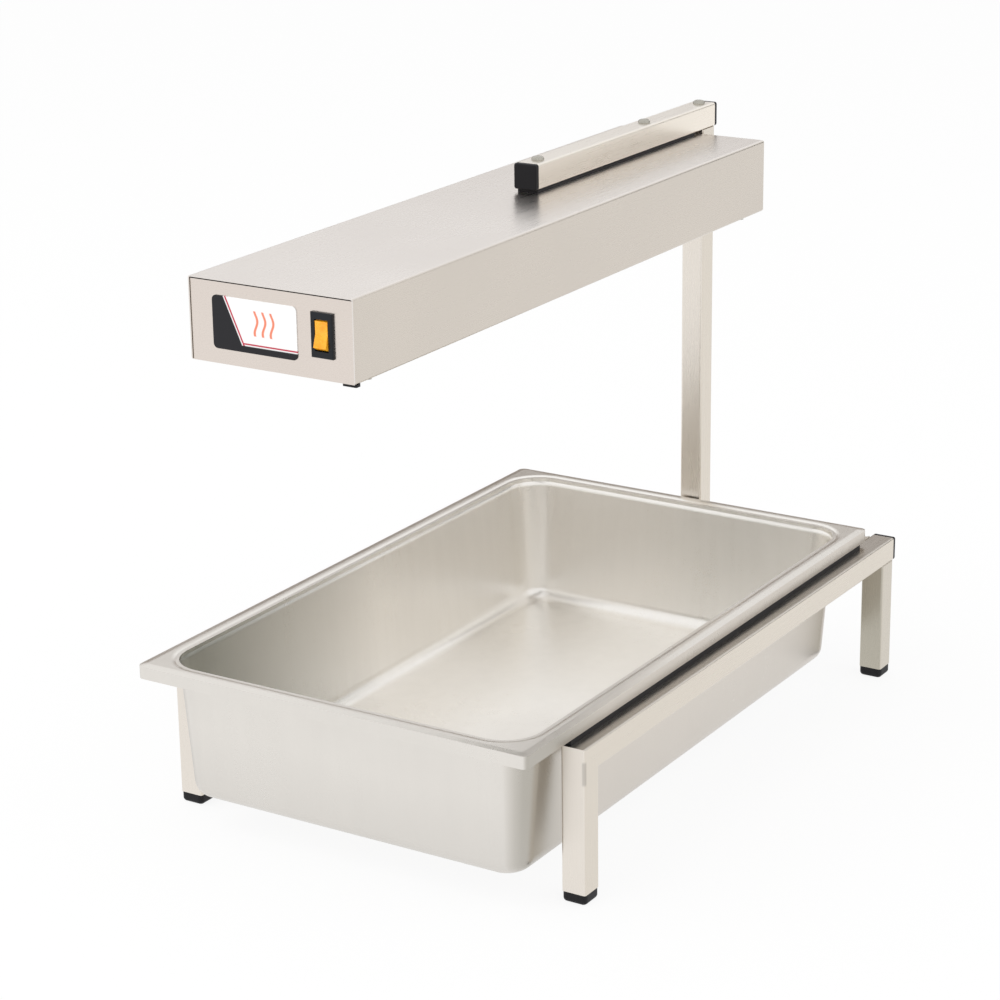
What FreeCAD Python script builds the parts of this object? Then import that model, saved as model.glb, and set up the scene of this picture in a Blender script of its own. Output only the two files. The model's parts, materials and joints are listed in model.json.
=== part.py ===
import FreeCAD, Part
import math
import os
import Sketcher

# Countertop chip warmer: a tube stand that carries a food pan, with a strip heater hung over it on an arm.
# The frame is X to the right, Y to the back and Z up, with the origin on the counter below the middle.

# Driving dimensions in millimetres
SIZES = {
    # Stand
    "tube_side": 19.05,
    "tube_wall": 1.2,
    "tube_corner": 1.8,
    "stand_width": 350,
    "stand_rear": 300.2,
    "floor_clearance": 25,
    "cross_tube_inset": 5.65,
    "foot_height": 8,
    "foot_corner": 3.6,
    "foot_round": 3,
    "plug_head": 4,
    "plug_round": 1.1,
    "plug_insert": 14,
    "plug_fit": 0.15,
    # Arm and hangers
    "arm_plug_insert": 6,
    "hanger_gap": 2.5,
    "hanger_front_setback": 14.5,
    "hanger_spacing": 160,
    "hanger_rear_setback": 21.5,
    "bolt_diameter": 5,
    "bolt_clearance": 0.25,
    "thread_play": 0.1,
    "bolt_head_diameter": 9.5,
    "bolt_head_height": 2.6,
    "bolt_head_round": 2.2,
    "bolt_tail": 1.5,
    "post_insert_height": 16,
    "post_insert_recess": 1,
    "hanger_pad_width": 17,
    "hanger_pad_rear_gap": 10,
    "nut_across_corners": 9.2,
    "nut_height": 4,
    "doubler_width": 50,
    "doubler_sheet": 2,
    "doubler_gap": 1,
    # Heater housing
    "head_length": 572,
    "head_rise": 323,
    "post_gap": 3.5,
    "hanger_room": 12.2,
    "sheet": 0.9,
    "bend_outside": 1.9,
    "return_flange": 11,
    "panel_gap": 0.3,
    "panel_top_gap": 1,
    "panel_inset": 0.8,
    "panel_flange": 12,
    "bay_margin": 2.6,
    "bulkhead_sheet": 0.8,
    "wire_slot_width": 18,
    "wire_slot_height": 7,
    "wire_slot_drop": 9.2,
    "wire_slot_margin": 24.5,
    # Reflector and baffle
    "reflector_sheet": 0.8,
    "reflector_skin": 1,
    "reflector_lip": 12,
    "reflector_slope": 23.5,
    "reflector_height": 35,
    "baffle_gap": 8,
    "running_gap": 0.3,
    # Heating element
    "element_diameter": 8,
    "element_pitch": 34,
    "element_drop": 16.9,
    "element_front_gap": 22,
    "element_tail": 12,
    "stud_diameter": 4,
    "stud_length": 13,
    "stud_nut_corners": 8.1,
    "stud_nut_height": 3.2,
    "stud_nut_setback": 4,
    "bushing_neck": 12,
    "bushing_flange": 17,
    "bushing_flange_length": 4,
    "bushing_neck_length": 6,
    "bushing_fit": 0.1,
    "hanger_strip": 1,
    "hanger_strip_edge": 8,
    "hanger_strip_margin": 5,
    "hanger_strip_drop": 7,
    "hanger_strip_flange": 10,
    "strip_spacing": 250,
    # Terminal block and earth
    "block_width": 42,
    "block_depth": 15,
    "block_height": 11,
    "block_setback": 3,
    "block_screw_diameter": 5,
    "block_screw_height": 1.4,
    "block_screw_pitch": 13,
    "screw_slot": 0.9,
    "screw_slot_depth": 0.7,
    "earth_margin": 17.5,
    "earth_rise": 11.2,
    "earth_length": 12,
    # Cable inlet
    "inlet_margin": 29.5,
    "inlet_rise": 2.5,
    "inlet_bore": 10,
    "inlet_hole": 16,
    "grommet_flange": 21,
    "grommet_lip": 2.6,
    # Switch
    "switch_margin": 15.95,
    "switch_rise": 1.5,
    "bezel_width": 17,
    "bezel_height": 30.2,
    "bezel_proud": 2,
    "bezel_round": 0.7,
    "switch_body_width": 14.4,
    "switch_body_height": 26.2,
    "switch_body_depth": 24,
    "switch_wall": 1.4,
    "cutout_gap": 0.2,
    "rocker_width": 9.6,
    "rocker_radius": 10.3,
    "rocker_side_gap": 0.5,
    "rocker_end_gap": 0.3,
    "pivot_depth": 2.2,
    "pin_diameter": 2.6,
    "pin_fit": 0.05,
    "pin_end_gap": 0.4,
    "lamp_diameter": 5,
    "lamp_length": 11,
    "tab_width": 6.3,
    "tab_length": 8,
    "tab_sheet": 0.8,
    "tab_pitch": 8,
    # Nameplate
    "plate_margin": 18.75,
    "plate_gap": 11.8,
    "plate_height": 36,
    "plate_sheet": 0.6,
    "plate_round": 3.4,
    "plate_drop": 0.2,
    # Wire guard
    "guard_wire": 3.2,
    "guard_rung": 2.6,
    "guard_margin": 13.5,
    "guard_end_gap": 12,
    "guard_seat_gap": 0.1,
    "guard_pitch": 46,
    "clip_sheet": 0.9,
    "clip_length": 14,
    "clip_end_gap": 18,
    "clip_web_gap": 0.3,
    "clip_wire_gap": 0.1,
    "clip_edge": 0.5,
    "clip_margin": 3.5,
    "clip_screw": 3,
    "clip_screw_head": 5.4,
    "clip_screw_head_height": 1.6,
    "clip_screw_tail": 1,
    "clip_nut_corners": 6.4,
    "clip_nut_height": 2.4,
    "bumper_setback": 2,
    "bumper_length": 5,
    "bumper_height": 2,
    "bumper_round": 1,
    # Leads inside the housing
    "lead_diameter": 2.4,
    "lead_bend": 4.5,
    "lead_pitch": 3.6,
    "lead_run": 6,
    "lead_gap": 0.2,
    # Food pan
    "pan_length": 530,
    "rail_ledge": 11.5,
    "pan_post_gap": 2.5,
    "pan_overhang": 57,
    "pan_depth": 107,
    "pan_wall": 0.8,
    "pan_rim_flat": 8.5,
    "pan_flange_drop": 1,
    "pan_slope": 5,
    "pan_slope_corner": 3,
    "pan_lip": 10.5,
    "pan_hem": 2.6,
    "pan_outer_corner": 5,
    "pan_inner_corner": 28,
    "pan_draft": 8,
    "pan_floor_round": 12,
    "rest_width": 6.5,
    "rest_height": 4.5,
    "rest_margin": 0.5,
    "rest_front_gap": 2,
    "rest_rear_gap": 12,
    # Cuts run past their faces by this much
    "overrun": 2,
}
ROCKER_TILT_DEGREES = 9
ROCKER_FACE_SHARE = 0.4
ROCKER_TIP_DEPTH_SHARE = 0.54
ROCKER_TIP_REACH_SHARE = 0.84
ROCKER_SIDE_DEPTH_SHARE = 0.16
ROCKER_SIDE_REACH_SHARE = 0.985
ROCKER_BACK_DEPTH_SHARE = 0.2
ROCKER_BACK_REACH_SHARE = 0.6
CLIP_SCREW_SHARE = 0.36
LEAD_ROOM_SHARE = 0.45
MOUTH_ROUND_SHARE = 0.88
HEX_SIDES = 6
SAME_SPOT = 0.001
QUARTER_DEGREES = 90

os.makedirs("parts", exist_ok=True)
DOC = FreeCAD.newDocument("chip_warmer")
SHEET = DOC.addObject("Spreadsheet::Sheet", "Sizes")
for row, (alias, number) in enumerate(SIZES.items(), start=1):
    SHEET.set(f"A{row}", alias)
    SHEET.set(f"B{row}", str(number))
    SHEET.setAlias(f"B{row}", alias)
DOC.recompute()


class Size:
    """A length from the sheet, or a sum of such lengths, with the formula that gives it."""

    def __init__(self, value, formula):
        self.value = value
        self.formula = formula

    def __add__(self, other):
        return Size(self.value + other.value, f"({self.formula} + {other.formula})")

    def __sub__(self, other):
        return Size(self.value - other.value, f"({self.formula} - {other.formula})")

    def __neg__(self):
        return Size(-self.value, f"(0 - {self.formula})")

    def __mul__(self, factor):
        return Size(self.value * factor, f"({self.formula} * {factor})")

    def __truediv__(self, divisor):
        return Size(self.value / divisor, f"({self.formula} / {divisor})")


class Sheet:
    """Gives each named length of the sheet as a Size."""

    def __getattr__(self, alias):
        return Size(float(SHEET.get(alias)), f"Sizes.{alias}")


S = Sheet()
ZERO = Size(0.0, "0")
AXES = {"x": FreeCAD.Vector(1, 0, 0), "y": FreeCAD.Vector(0, 1, 0), "z": FreeCAD.Vector(0, 0, 1)}
PLANES = {"x": "YZ_Plane", "y": "XZ_Plane", "z": "XY_Plane"}
TURNS = {
    "x": FreeCAD.Rotation(AXES["y"], 90),
    "y": FreeCAD.Rotation(AXES["x"], -90),
    "z": FreeCAD.Rotation(),
}
NODES = []


def keep(made, name):
    """Names a finished sub-part and lists it as a node."""
    made.Label = name
    NODES.append(made)
    return made


def bind(made, prop, size):
    made.setExpression(prop, size.formula)


def bind_place(made, place):
    for axis, size in zip("xyz", place):
        bind(made, f"Placement.Base.{axis}", size)


# Part primitives and booleans


def rod(name, axis, centre, diameter, low, high):
    """A cylinder along one axis; centre holds the other two coordinates in the order X, Y, Z."""
    made = DOC.addObject("Part::Cylinder", name)
    made.Placement = FreeCAD.Placement(FreeCAD.Vector(), TURNS[axis])
    bind(made, "Radius", diameter / 2)
    bind(made, "Height", high - low)
    place = list(centre)
    place.insert("xyz".index(axis), low)
    bind_place(made, place)
    return made


def block(name, low, high):
    made = DOC.addObject("Part::Box", name)
    for prop, start, end in zip(("Length", "Width", "Height"), low, high):
        bind(made, prop, end - start)
    bind_place(made, low)
    return made


def hexagon(name, axis, centre, across_corners, low, high):
    made = DOC.addObject("Part::Prism", name)
    made.Placement = FreeCAD.Placement(FreeCAD.Vector(), TURNS[axis])
    made.Polygon = HEX_SIDES
    bind(made, "Circumradius", across_corners / 2)
    bind(made, "Height", high - low)
    place = list(centre)
    place.insert("xyz".index(axis), low)
    bind_place(made, place)
    return made


def cut(name, base, tool):
    made = DOC.addObject("Part::Cut", name)
    made.Base = base
    made.Tool = tool
    return made


def fuse(name, pieces):
    made = DOC.addObject("Part::MultiFuse", name)
    made.Shapes = pieces
    return made


def group(name, pieces):
    made = DOC.addObject("Part::Compound", name)
    made.Links = pieces
    return made


def ring(name, axis, centre, outside, inside, low, high):
    outer = rod(f"{name}_outer", axis, centre, outside, low, high)
    bore = rod(f"{name}_bore", axis, centre, inside, low - S.overrun, high + S.overrun)
    return cut(name, outer, bore)


def nut(name, axis, centre, across_corners, bore, low, high):
    outer = hexagon(f"{name}_hexagon", axis, centre, across_corners, low, high)
    inner = rod(f"{name}_bore", axis, centre, bore, low - S.overrun, high + S.overrun)
    return cut(name, outer, inner)


# Sketched bodies


def flat_point(place):
    return FreeCAD.Vector(place[0].value, place[1].value, 0)


def rectangle(low, high):
    """Four corners between two corner points of a sketch plane."""
    return [(low[0], low[1]), (high[0], low[1]), (high[0], high[1]), (low[0], high[1])]


def centred(middle, width, height):
    low = (middle[0] - width / 2, middle[1] - height / 2)
    high = (middle[0] + width / 2, middle[1] + height / 2)
    return rectangle(low, high)


class Rounded:
    """A rectangle about a middle point with round corners."""

    def __init__(self, middle, width, height, corner):
        self.sides = centred(middle, width, height)
        self.corner = corner

    def ends(self):
        """The two ends of each side, in order round the outline."""
        low, high = self.sides[0], self.sides[2]
        turn = self.corner
        return [
            ((low[0] + turn, low[1]), (high[0] - turn, low[1])),
            ((high[0], low[1] + turn), (high[0], high[1] - turn)),
            ((high[0] - turn, high[1]), (low[0] + turn, high[1])),
            ((low[0], high[1] - turn), (low[0], low[1] + turn)),
        ]

    def middles(self):
        """The centre of the arc that follows each side."""
        low, high = self.sides[0], self.sides[2]
        turn = self.corner
        return [
            (high[0] - turn, low[1] + turn),
            (high[0] - turn, high[1] - turn),
            (low[0] + turn, high[1] - turn),
            (low[0] + turn, low[1] + turn),
        ]


def symmetric(points):
    """A closed outline from its right half, mirrored about the plane's upright axis."""
    return points + [(-across, up) for across, up in reversed(points)]


class Piece:
    """A body of padded and pocketed sketches whose points are bound to the sheet."""

    def __init__(self, name):
        self.name = name
        self.body = DOC.addObject("PartDesign::Body", name)
        self.count = 0

    def feature(self, kind, label):
        self.count += 1
        return self.body.newObject(kind, f"{self.name}_{label}_{self.count}")

    def sketch(self, axis, lift):
        made = self.feature("Sketcher::SketchObject", "sketch")
        plane = next(f for f in self.body.Origin.OriginFeatures if f.Role == PLANES[axis])
        made.AttachmentSupport = [(plane, "")]
        made.MapMode = "FlatFace"
        bind(made, "AttachmentOffset.Base.z", lift)
        return made

    def hold_point(self, sketch, geometry, point, place):
        """Fixes one sketch point at its two bound distances from the origin."""
        for kind, size, on_axis in (("DistanceX", place[0], -2), ("DistanceY", place[1], -1)):
            if size.value == 0:
                sketch.addConstraint(Sketcher.Constraint("PointOnObject", geometry, point, on_axis))
                continue
            if size.value > 0:
                rule = Sketcher.Constraint(kind, -1, 1, geometry, point, size.value)
                formula = size.formula
            else:
                rule = Sketcher.Constraint(kind, geometry, point, -1, 1, -size.value)
                formula = (-size).formula
            index = sketch.addConstraint(rule)
            sketch.setExpression(f"Constraints[{index}]", formula)

    def polygon(self, sketch, points):
        flat = [flat_point(place) for place in points]
        first = sketch.GeometryCount
        for start, end in zip(flat, flat[1:] + flat[:1]):
            sketch.addGeometry(Part.LineSegment(start, end), False)
        for index in range(len(flat)):
            following = first + (index + 1) % len(flat)
            sketch.addConstraint(Sketcher.Constraint("Coincident", first + index, 2, following, 1))
        for index, place in enumerate(points):
            self.hold_point(sketch, first + index, 1, place)

    def rounded(self, sketch, outline):
        ends = outline.ends()
        sides = []
        for start, end in ends:
            line = Part.LineSegment(flat_point(start), flat_point(end))
            sides.append(sketch.addGeometry(line, False))
        for index, (start, end) in zip(sides, ends):
            self.hold_point(sketch, index, 1, start)
            self.hold_point(sketch, index, 2, end)
        radius = outline.corner.value
        for order, middle in enumerate(outline.middles()):
            start_angle = math.radians(QUARTER_DEGREES * (order - 1))
            end_angle = math.radians(QUARTER_DEGREES * order)
            circle = Part.Circle(flat_point(middle), AXES["z"], radius)
            arc = sketch.addGeometry(Part.ArcOfCircle(circle, start_angle, end_angle), False)
            following = sides[(order + 1) % len(sides)]
            sketch.addConstraint(Sketcher.Constraint("Coincident", sides[order], 2, arc, 1))
            sketch.addConstraint(Sketcher.Constraint("Coincident", following, 1, arc, 2))
            rule = sketch.addConstraint(Sketcher.Constraint("Radius", arc, radius))
            sketch.setExpression(f"Constraints[{rule}]", outline.corner.formula)

    def draw(self, sketch, outline):
        if isinstance(outline, Rounded):
            self.rounded(sketch, outline)
        else:
            self.polygon(sketch, outline)

    def circle(self, sketch, centre, diameter):
        index = sketch.addGeometry(Part.Circle(flat_point(centre), AXES["z"], diameter.value / 2), False)
        self.hold_point(sketch, index, 3, centre)
        rule = sketch.addConstraint(Sketcher.Constraint("Diameter", index, diameter.value))
        sketch.setExpression(f"Constraints[{rule}]", diameter.formula)

    def span(self, axis, low, high):
        """Where the sketch lies so that a feature along its normal fills low to high."""
        return -high if axis == "y" else low

    def add(self, axis, low, high, outlines=(), circles=()):
        sketch = self.sketch(axis, self.span(axis, low, high))
        for outline in outlines:
            self.draw(sketch, outline)
        for centre, diameter in circles:
            self.circle(sketch, centre, diameter)
        pad = self.feature("PartDesign::Pad", "pad")
        pad.Profile = sketch
        bind(pad, "Length", high - low)
        DOC.recompute()
        return self

    def remove(self, axis, low, high, outlines=(), circles=()):
        before = self.body.Shape.Volume
        sketch = self.sketch(axis, self.span(axis, low, high))
        for outline in outlines:
            self.draw(sketch, outline)
        for centre, diameter in circles:
            self.circle(sketch, centre, diameter)
        pocket = self.feature("PartDesign::Pocket", "pocket")
        pocket.Profile = sketch
        pocket.Reversed = True
        bind(pocket, "Length", high - low)
        DOC.recompute()
        if not self.body.Shape.Volume < before:
            raise RuntimeError(f"{self.name}: a pocket removed nothing")
        return self

    def drafted(self, low, high, outline, draft, depth):
        """Rises from low to high while every side leans out by the draft in each depth."""
        sketch = self.sketch("z", low)
        self.draw(sketch, outline)
        pad = self.feature("PartDesign::Pad", "pad")
        pad.Profile = sketch
        bind(pad, "Length", high - low)
        pad.setExpression("TaperAngle", f"atan({draft.formula} / {depth.formula})")
        DOC.recompute()
        return self

    def loft(self, levels):
        """Joins outlines drawn at rising heights."""
        sketches = []
        for height, outline in levels:
            sketch = self.sketch("z", height)
            self.draw(sketch, outline)
            sketches.append(sketch)
        loft = self.feature("PartDesign::AdditiveLoft", "loft")
        loft.Profile = sketches[0]
        loft.Sections = sketches[1:]
        loft.Ruled = True
        DOC.recompute()
        return self

    def round(self, radius, chosen):
        """Rounds the edges that the test picks."""
        shape = self.body.Shape
        names = [f"Edge{number}" for number, edge in enumerate(shape.Edges, start=1) if chosen(edge)]
        if not names:
            raise RuntimeError(f"{self.name}: no edge to round")
        base = self.body.Tip
        fillet = self.feature("PartDesign::Fillet", "fillet")
        fillet.Base = (base, names)
        bind(fillet, "Radius", radius)
        DOC.recompute()
        return self

    def done(self):
        return keep(self.body, self.name)


def runs_along(edge, axis):
    """True for a straight edge parallel to an axis."""
    if not isinstance(edge.Curve, Part.Line):
        return False
    return near(abs(edge.Curve.Direction.dot(AXES[axis])), 1)


def near(one, other):
    return abs(one - other) < SAME_SPOT


def lies_at(edge, axis, size):
    """True when the whole edge lies in the plane where that coordinate equals the size."""
    spots = [getattr(vertex.Point, axis) for vertex in edge.Vertexes]
    spots.append(getattr(edge.CenterOfMass, axis))
    return all(near(spot, size.value) for spot in spots)


# Places that several pieces share
HALF_STAND = S.stand_width / 2
LEG_CENTRE = HALF_STAND - S.tube_side / 2
POST_REAR = S.stand_rear - S.cross_tube_inset
POST_FRONT = POST_REAR - S.tube_side
POST_CENTRE = POST_REAR - S.tube_side / 2
# The pan lies between the rails' outer faces and against the post, and the stand's front follows it
PAN_WIDTH = S.stand_width - S.rail_ledge * 2
PAN_REAR = POST_FRONT - S.pan_post_gap
PAN_MIDDLE = PAN_REAR - S.pan_length / 2
PAN_FLANGE = S.pan_slope + S.pan_rim_flat
PAN_MOUTH_ROUND = S.pan_rim_flat * MOUTH_ROUND_SHARE
STAND_FRONT = PAN_REAR - S.pan_length + S.pan_overhang
RAIL_TOP = S.floor_clearance + S.pan_depth - S.pan_lip - S.rest_height
RAIL_CENTRE_HEIGHT = RAIL_TOP - S.tube_side / 2
RAIL_BOTTOM = RAIL_TOP - S.tube_side
# A black strip on each rail holds the pan's lip clear of it
PAN_SEAT = RAIL_TOP + S.rest_height
PAN_RIM = PAN_SEAT + S.pan_lip
REST_OUTER = PAN_WIDTH / 2 - S.rest_margin
# The head's section grows from the element outwards and from the ledges up
ELEMENT_SIDE = S.element_pitch / 2
ELEMENT_SIDES = [-ELEMENT_SIDE, ELEMENT_SIDE]
STRIP_HALF = ELEMENT_SIDE + S.hanger_strip_edge
CROWN_HALF = STRIP_HALF + S.hanger_strip_margin
MOUTH_HALF = CROWN_HALF + S.reflector_slope
HEAD_HALF = MOUTH_HALF + S.reflector_lip
BAFFLE_HEIGHT = S.reflector_height + S.baffle_gap
HEAD_HEIGHT = S.sheet * 2 + BAFFLE_HEIGHT + S.hanger_room
HEAD_TOP = RAIL_TOP + S.head_rise
HEAD_BOTTOM = HEAD_TOP - HEAD_HEIGHT
HEAD_MIDDLE = HEAD_TOP - HEAD_HEIGHT / 2
HEAD_REAR = POST_FRONT - S.post_gap
HEAD_FRONT = HEAD_REAR - S.head_length
SKIN_TOP = HEAD_TOP - S.sheet
SKIN_HALF = HEAD_HALF - S.sheet
LEDGE = HEAD_BOTTOM + S.sheet
FLOOR_TOP = LEDGE + S.sheet
ELEMENT_HEIGHT = LEDGE + S.reflector_height - S.element_drop
BEND_INSIDE = S.bend_outside - S.sheet
PANEL_HALF = SKIN_HALF - S.panel_gap
PANEL_TOP = SKIN_TOP - S.panel_top_gap
FRONT_FACE = HEAD_FRONT + S.panel_inset
REAR_FACE = HEAD_REAR - S.panel_inset
# Each wiring bay holds the switch, its tabs and the turns of three leads
LEAD_TURNS = S.lead_gap + S.lead_run * 3 + S.lead_diameter
BAY_LENGTH = S.panel_inset + S.switch_body_depth + S.tab_length + LEAD_TURNS + S.bay_margin
FRONT_BULKHEAD = HEAD_FRONT + BAY_LENGTH
REAR_BULKHEAD = HEAD_REAR - BAY_LENGTH
ELEMENT_END = REAR_BULKHEAD + S.element_tail
WIRE_SLOT_REACH = HEAD_HALF - S.wire_slot_margin
EARTH_REACH = HEAD_HALF - S.earth_margin
EARTH_HEIGHT = FLOOR_TOP + S.earth_rise
INLET_REACH = HEAD_HALF - S.inlet_margin
INLET_HEIGHT = HEAD_MIDDLE + S.inlet_rise
SWITCH_REACH = HEAD_HALF - S.switch_margin - S.bezel_width / 2
SWITCH_HEIGHT = HEAD_MIDDLE + S.switch_rise
PLATE_LEFT = S.plate_margin - HEAD_HALF
PLATE_RIGHT = SWITCH_REACH - S.bezel_width / 2 - S.plate_gap
GUARD_REACH = HEAD_HALF - S.guard_margin
FLANGE_INNER = HEAD_HALF - S.return_flange
CLIP_LOW = HEAD_BOTTOM - S.guard_seat_gap - S.guard_wire - S.clip_wire_gap - S.clip_sheet
# The arm reaches from the post to the front hanger
HOLE = S.bolt_diameter + S.bolt_clearance * 2
REAR_HANGER = REAR_BULKHEAD - S.hanger_rear_setback
HANGER_SPOTS = [REAR_HANGER - S.hanger_spacing, REAR_HANGER]
DOUBLER_MARGIN = S.hanger_rear_setback - S.doubler_gap
ARM_FRONT = HANGER_SPOTS[0] - S.hanger_front_setback
ARM_BOTTOM = HEAD_TOP + S.hanger_gap
ARM_TOP = ARM_BOTTOM + S.tube_side


def tube(name, axis, centre, low, high):
    """A square tube along one axis with rounded corners, before any mitre."""
    inner_side = S.tube_side - S.tube_wall * 2
    outer = centred(centre, S.tube_side, S.tube_side)
    inner = centred(centre, inner_side, inner_side)
    made = Piece(name)
    made.add(axis, low, high, outlines=(outer, inner))
    across = [letter for letter in "xyz" if letter != axis]

    def corner(side):
        def test(edge):
            if not runs_along(edge, axis):
                return False
            middle = edge.CenterOfMass
            offsets = [abs(getattr(middle, letter) - spot.value) for letter, spot in zip(across, centre)]
            return all(near(offset, side.value / 2) for offset in offsets)

        return test

    made.round(S.tube_corner, corner(S.tube_side))
    made.round(S.tube_corner - S.tube_wall, corner(inner_side))
    return made


def plug(name, axis, centre, end, outward, head, corner, edge_round, insert):
    """A black push-in cap: a square head on the tube's end and an insert inside the tube."""
    inside = S.tube_side - S.tube_wall * 2 - S.plug_fit * 2
    if outward > 0:
        outer_face = end + head
        head_span = (end, outer_face)
        insert_span = (end - insert, end)
    else:
        outer_face = end - head
        head_span = (outer_face, end)
        insert_span = (end, end + insert)
    made = Piece(name)
    made.add(axis, head_span[0], head_span[1], outlines=[centred(centre, S.tube_side, S.tube_side)])
    made.round(corner, lambda edge: runs_along(edge, axis))
    made.round(edge_round, lambda edge: lies_at(edge, axis, outer_face))
    insert_outline = Rounded(centre, inside, inside, S.tube_corner - S.tube_wall)
    made.add(axis, insert_span[0], insert_span[1], outlines=[insert_outline])
    return made.done()


def make_rails():
    """The two side rails, mitred at the front into the front legs."""
    past = S.overrun
    below_mitre = [
        (STAND_FRONT - past, RAIL_TOP + past),
        (STAND_FRONT - past, RAIL_BOTTOM - past),
        (STAND_FRONT + S.tube_side + past, RAIL_BOTTOM - past),
    ]
    for name, side in (("left_rail_tube", -LEG_CENTRE), ("right_rail_tube", LEG_CENTRE)):
        rail = tube(name, "y", (side, RAIL_CENTRE_HEIGHT), STAND_FRONT, S.stand_rear)
        rail.remove("x", side - S.tube_side, side + S.tube_side, outlines=[below_mitre])
        rail.done()
    for name, side in (("left_rail_plug", -LEG_CENTRE), ("right_rail_plug", LEG_CENTRE)):
        centre = (side, RAIL_CENTRE_HEIGHT)
        plug(name, "y", centre, S.stand_rear, 1, S.plug_head, S.tube_corner, S.plug_round, S.plug_insert)


def make_legs():
    """Front legs run to the rail's top and are mitred; rear legs stand under the rails."""
    past = S.overrun
    above_mitre = [
        (STAND_FRONT - past, RAIL_TOP + past),
        (STAND_FRONT + S.tube_side + past, RAIL_TOP + past),
        (STAND_FRONT + S.tube_side + past, RAIL_BOTTOM - past),
    ]
    front = STAND_FRONT + S.tube_side / 2
    rear = S.stand_rear - S.tube_side / 2
    for word, side in (("left", -LEG_CENTRE), ("right", LEG_CENTRE)):
        leg = tube(f"front_{word}_leg", "z", (side, front), S.foot_height, RAIL_TOP)
        leg.remove("x", side - S.tube_side, side + S.tube_side, outlines=[above_mitre])
        leg.done()
        tube(f"rear_{word}_leg", "z", (side, rear), S.foot_height, RAIL_BOTTOM).done()
        for place, depth in (("front", front), ("rear", rear)):
            name = f"{place}_{word}_foot"
            centre = (side, depth)
            head = S.foot_height
            plug(name, "z", centre, head, -1, head, S.foot_corner, S.foot_round, S.plug_insert)


def make_post_and_arm():
    """The cross tube between the rails, the post on it and the arm on the post."""
    inner = HALF_STAND - S.tube_side
    tube("rear_cross_tube", "x", (POST_CENTRE, RAIL_CENTRE_HEIGHT), -inner, inner).done()
    tube("post_tube", "z", (ZERO, POST_CENTRE), RAIL_TOP, ARM_BOTTOM).done()
    centre = (ZERO, ARM_BOTTOM + S.tube_side / 2)
    arm = tube("arm_tube", "y", centre, ARM_FRONT, POST_REAR)
    holes = [((ZERO, spot), HOLE) for spot in HANGER_SPOTS + [POST_CENTRE]]
    arm.remove("z", ARM_BOTTOM - S.overrun, ARM_TOP + S.overrun, circles=holes)
    arm.done()
    for name, end, outward in (("arm_front_plug", ARM_FRONT, -1), ("arm_rear_plug", POST_REAR, 1)):
        plug(name, "y", centre, end, outward, S.plug_head, S.tube_corner, S.plug_round, S.arm_plug_insert)


def domed_bolt(name, middle, low):
    """A round-headed bolt that stands on the arm and reaches down to a height."""
    bolt = Piece(name)
    head_top = ARM_TOP + S.bolt_head_height
    bolt.add("z", ARM_TOP, head_top, circles=[(middle, S.bolt_head_diameter)])
    bolt.round(S.bolt_head_round, lambda edge: lies_at(edge, "z", head_top))
    bolt.add("z", low, ARM_TOP, circles=[(middle, S.bolt_diameter)])
    return bolt


def make_post_bolt():
    """A third domed bolt holds the arm to a threaded insert in the post's top."""
    middle = (ZERO, POST_CENTRE)
    insert_top = ARM_BOTTOM - S.post_insert_recess
    insert_bottom = insert_top - S.post_insert_height
    inside = S.tube_side - S.tube_wall * 2 - S.plug_fit * 2
    insert = Piece("post_insert")
    outline = Rounded(middle, inside, inside, S.tube_corner - S.tube_wall)
    insert.add("z", insert_bottom, insert_top, outlines=[outline])
    past = S.overrun
    bore = (middle, S.bolt_diameter + S.thread_play)
    insert.remove("z", insert_bottom - past, insert_top + past, circles=[bore])
    insert.done()
    domed_bolt("post_bolt", middle, insert_bottom + S.bolt_tail).done()


def make_hangers():
    """Two bolts clamp the arm, a long pad, the housing and an inner doubler plate."""
    plate_bottom = SKIN_TOP - S.doubler_sheet
    nut_bottom = plate_bottom - S.nut_height
    bolts = []
    nuts = []
    for number, spot in enumerate(HANGER_SPOTS, start=1):
        middle = (ZERO, spot)
        bolts.append(domed_bolt(f"hanger_bolt_{number}", middle, nut_bottom - S.bolt_tail).body)
        name = f"hanger_nut_{number}"
        bore = S.bolt_diameter + S.thread_play
        nuts.append(nut(name, "z", middle, S.nut_across_corners, bore, nut_bottom, plate_bottom))
    keep(group("hanger_bolt_group", bolts), "hanger_bolts")
    keep(group("hanger_nut_group", nuts), "hanger_nuts")
    pad = Piece("hanger_pad")
    low = (-(S.hanger_pad_width / 2), ARM_FRONT)
    high = (S.hanger_pad_width / 2, HEAD_REAR - S.hanger_pad_rear_gap)
    pad.add("z", HEAD_TOP, ARM_BOTTOM, outlines=[rectangle(low, high)])
    holes = [((ZERO, spot), HOLE) for spot in HANGER_SPOTS]
    pad.remove("z", HEAD_TOP - S.overrun, ARM_BOTTOM + S.overrun, circles=holes)
    pad.done()
    doubler = Piece("hanger_doubler")
    low = (-(S.doubler_width / 2), HANGER_SPOTS[0] - DOUBLER_MARGIN)
    high = (S.doubler_width / 2, HANGER_SPOTS[1] + DOUBLER_MARGIN)
    doubler.add("z", plate_bottom, SKIN_TOP, outlines=[rectangle(low, high)])
    doubler.remove("z", plate_bottom - S.overrun, SKIN_TOP + S.overrun, circles=holes)
    doubler.done()


def clip_screw_spots():
    """Where the four guard clips are screwed to the housing's ledges."""
    wire_edge = GUARD_REACH + S.guard_wire / 2
    across = wire_edge + (HEAD_HALF - wire_edge) * CLIP_SCREW_SHARE
    setback = S.clip_end_gap + S.clip_length / 2
    return across, HEAD_FRONT + setback, HEAD_REAR - setback


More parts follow.
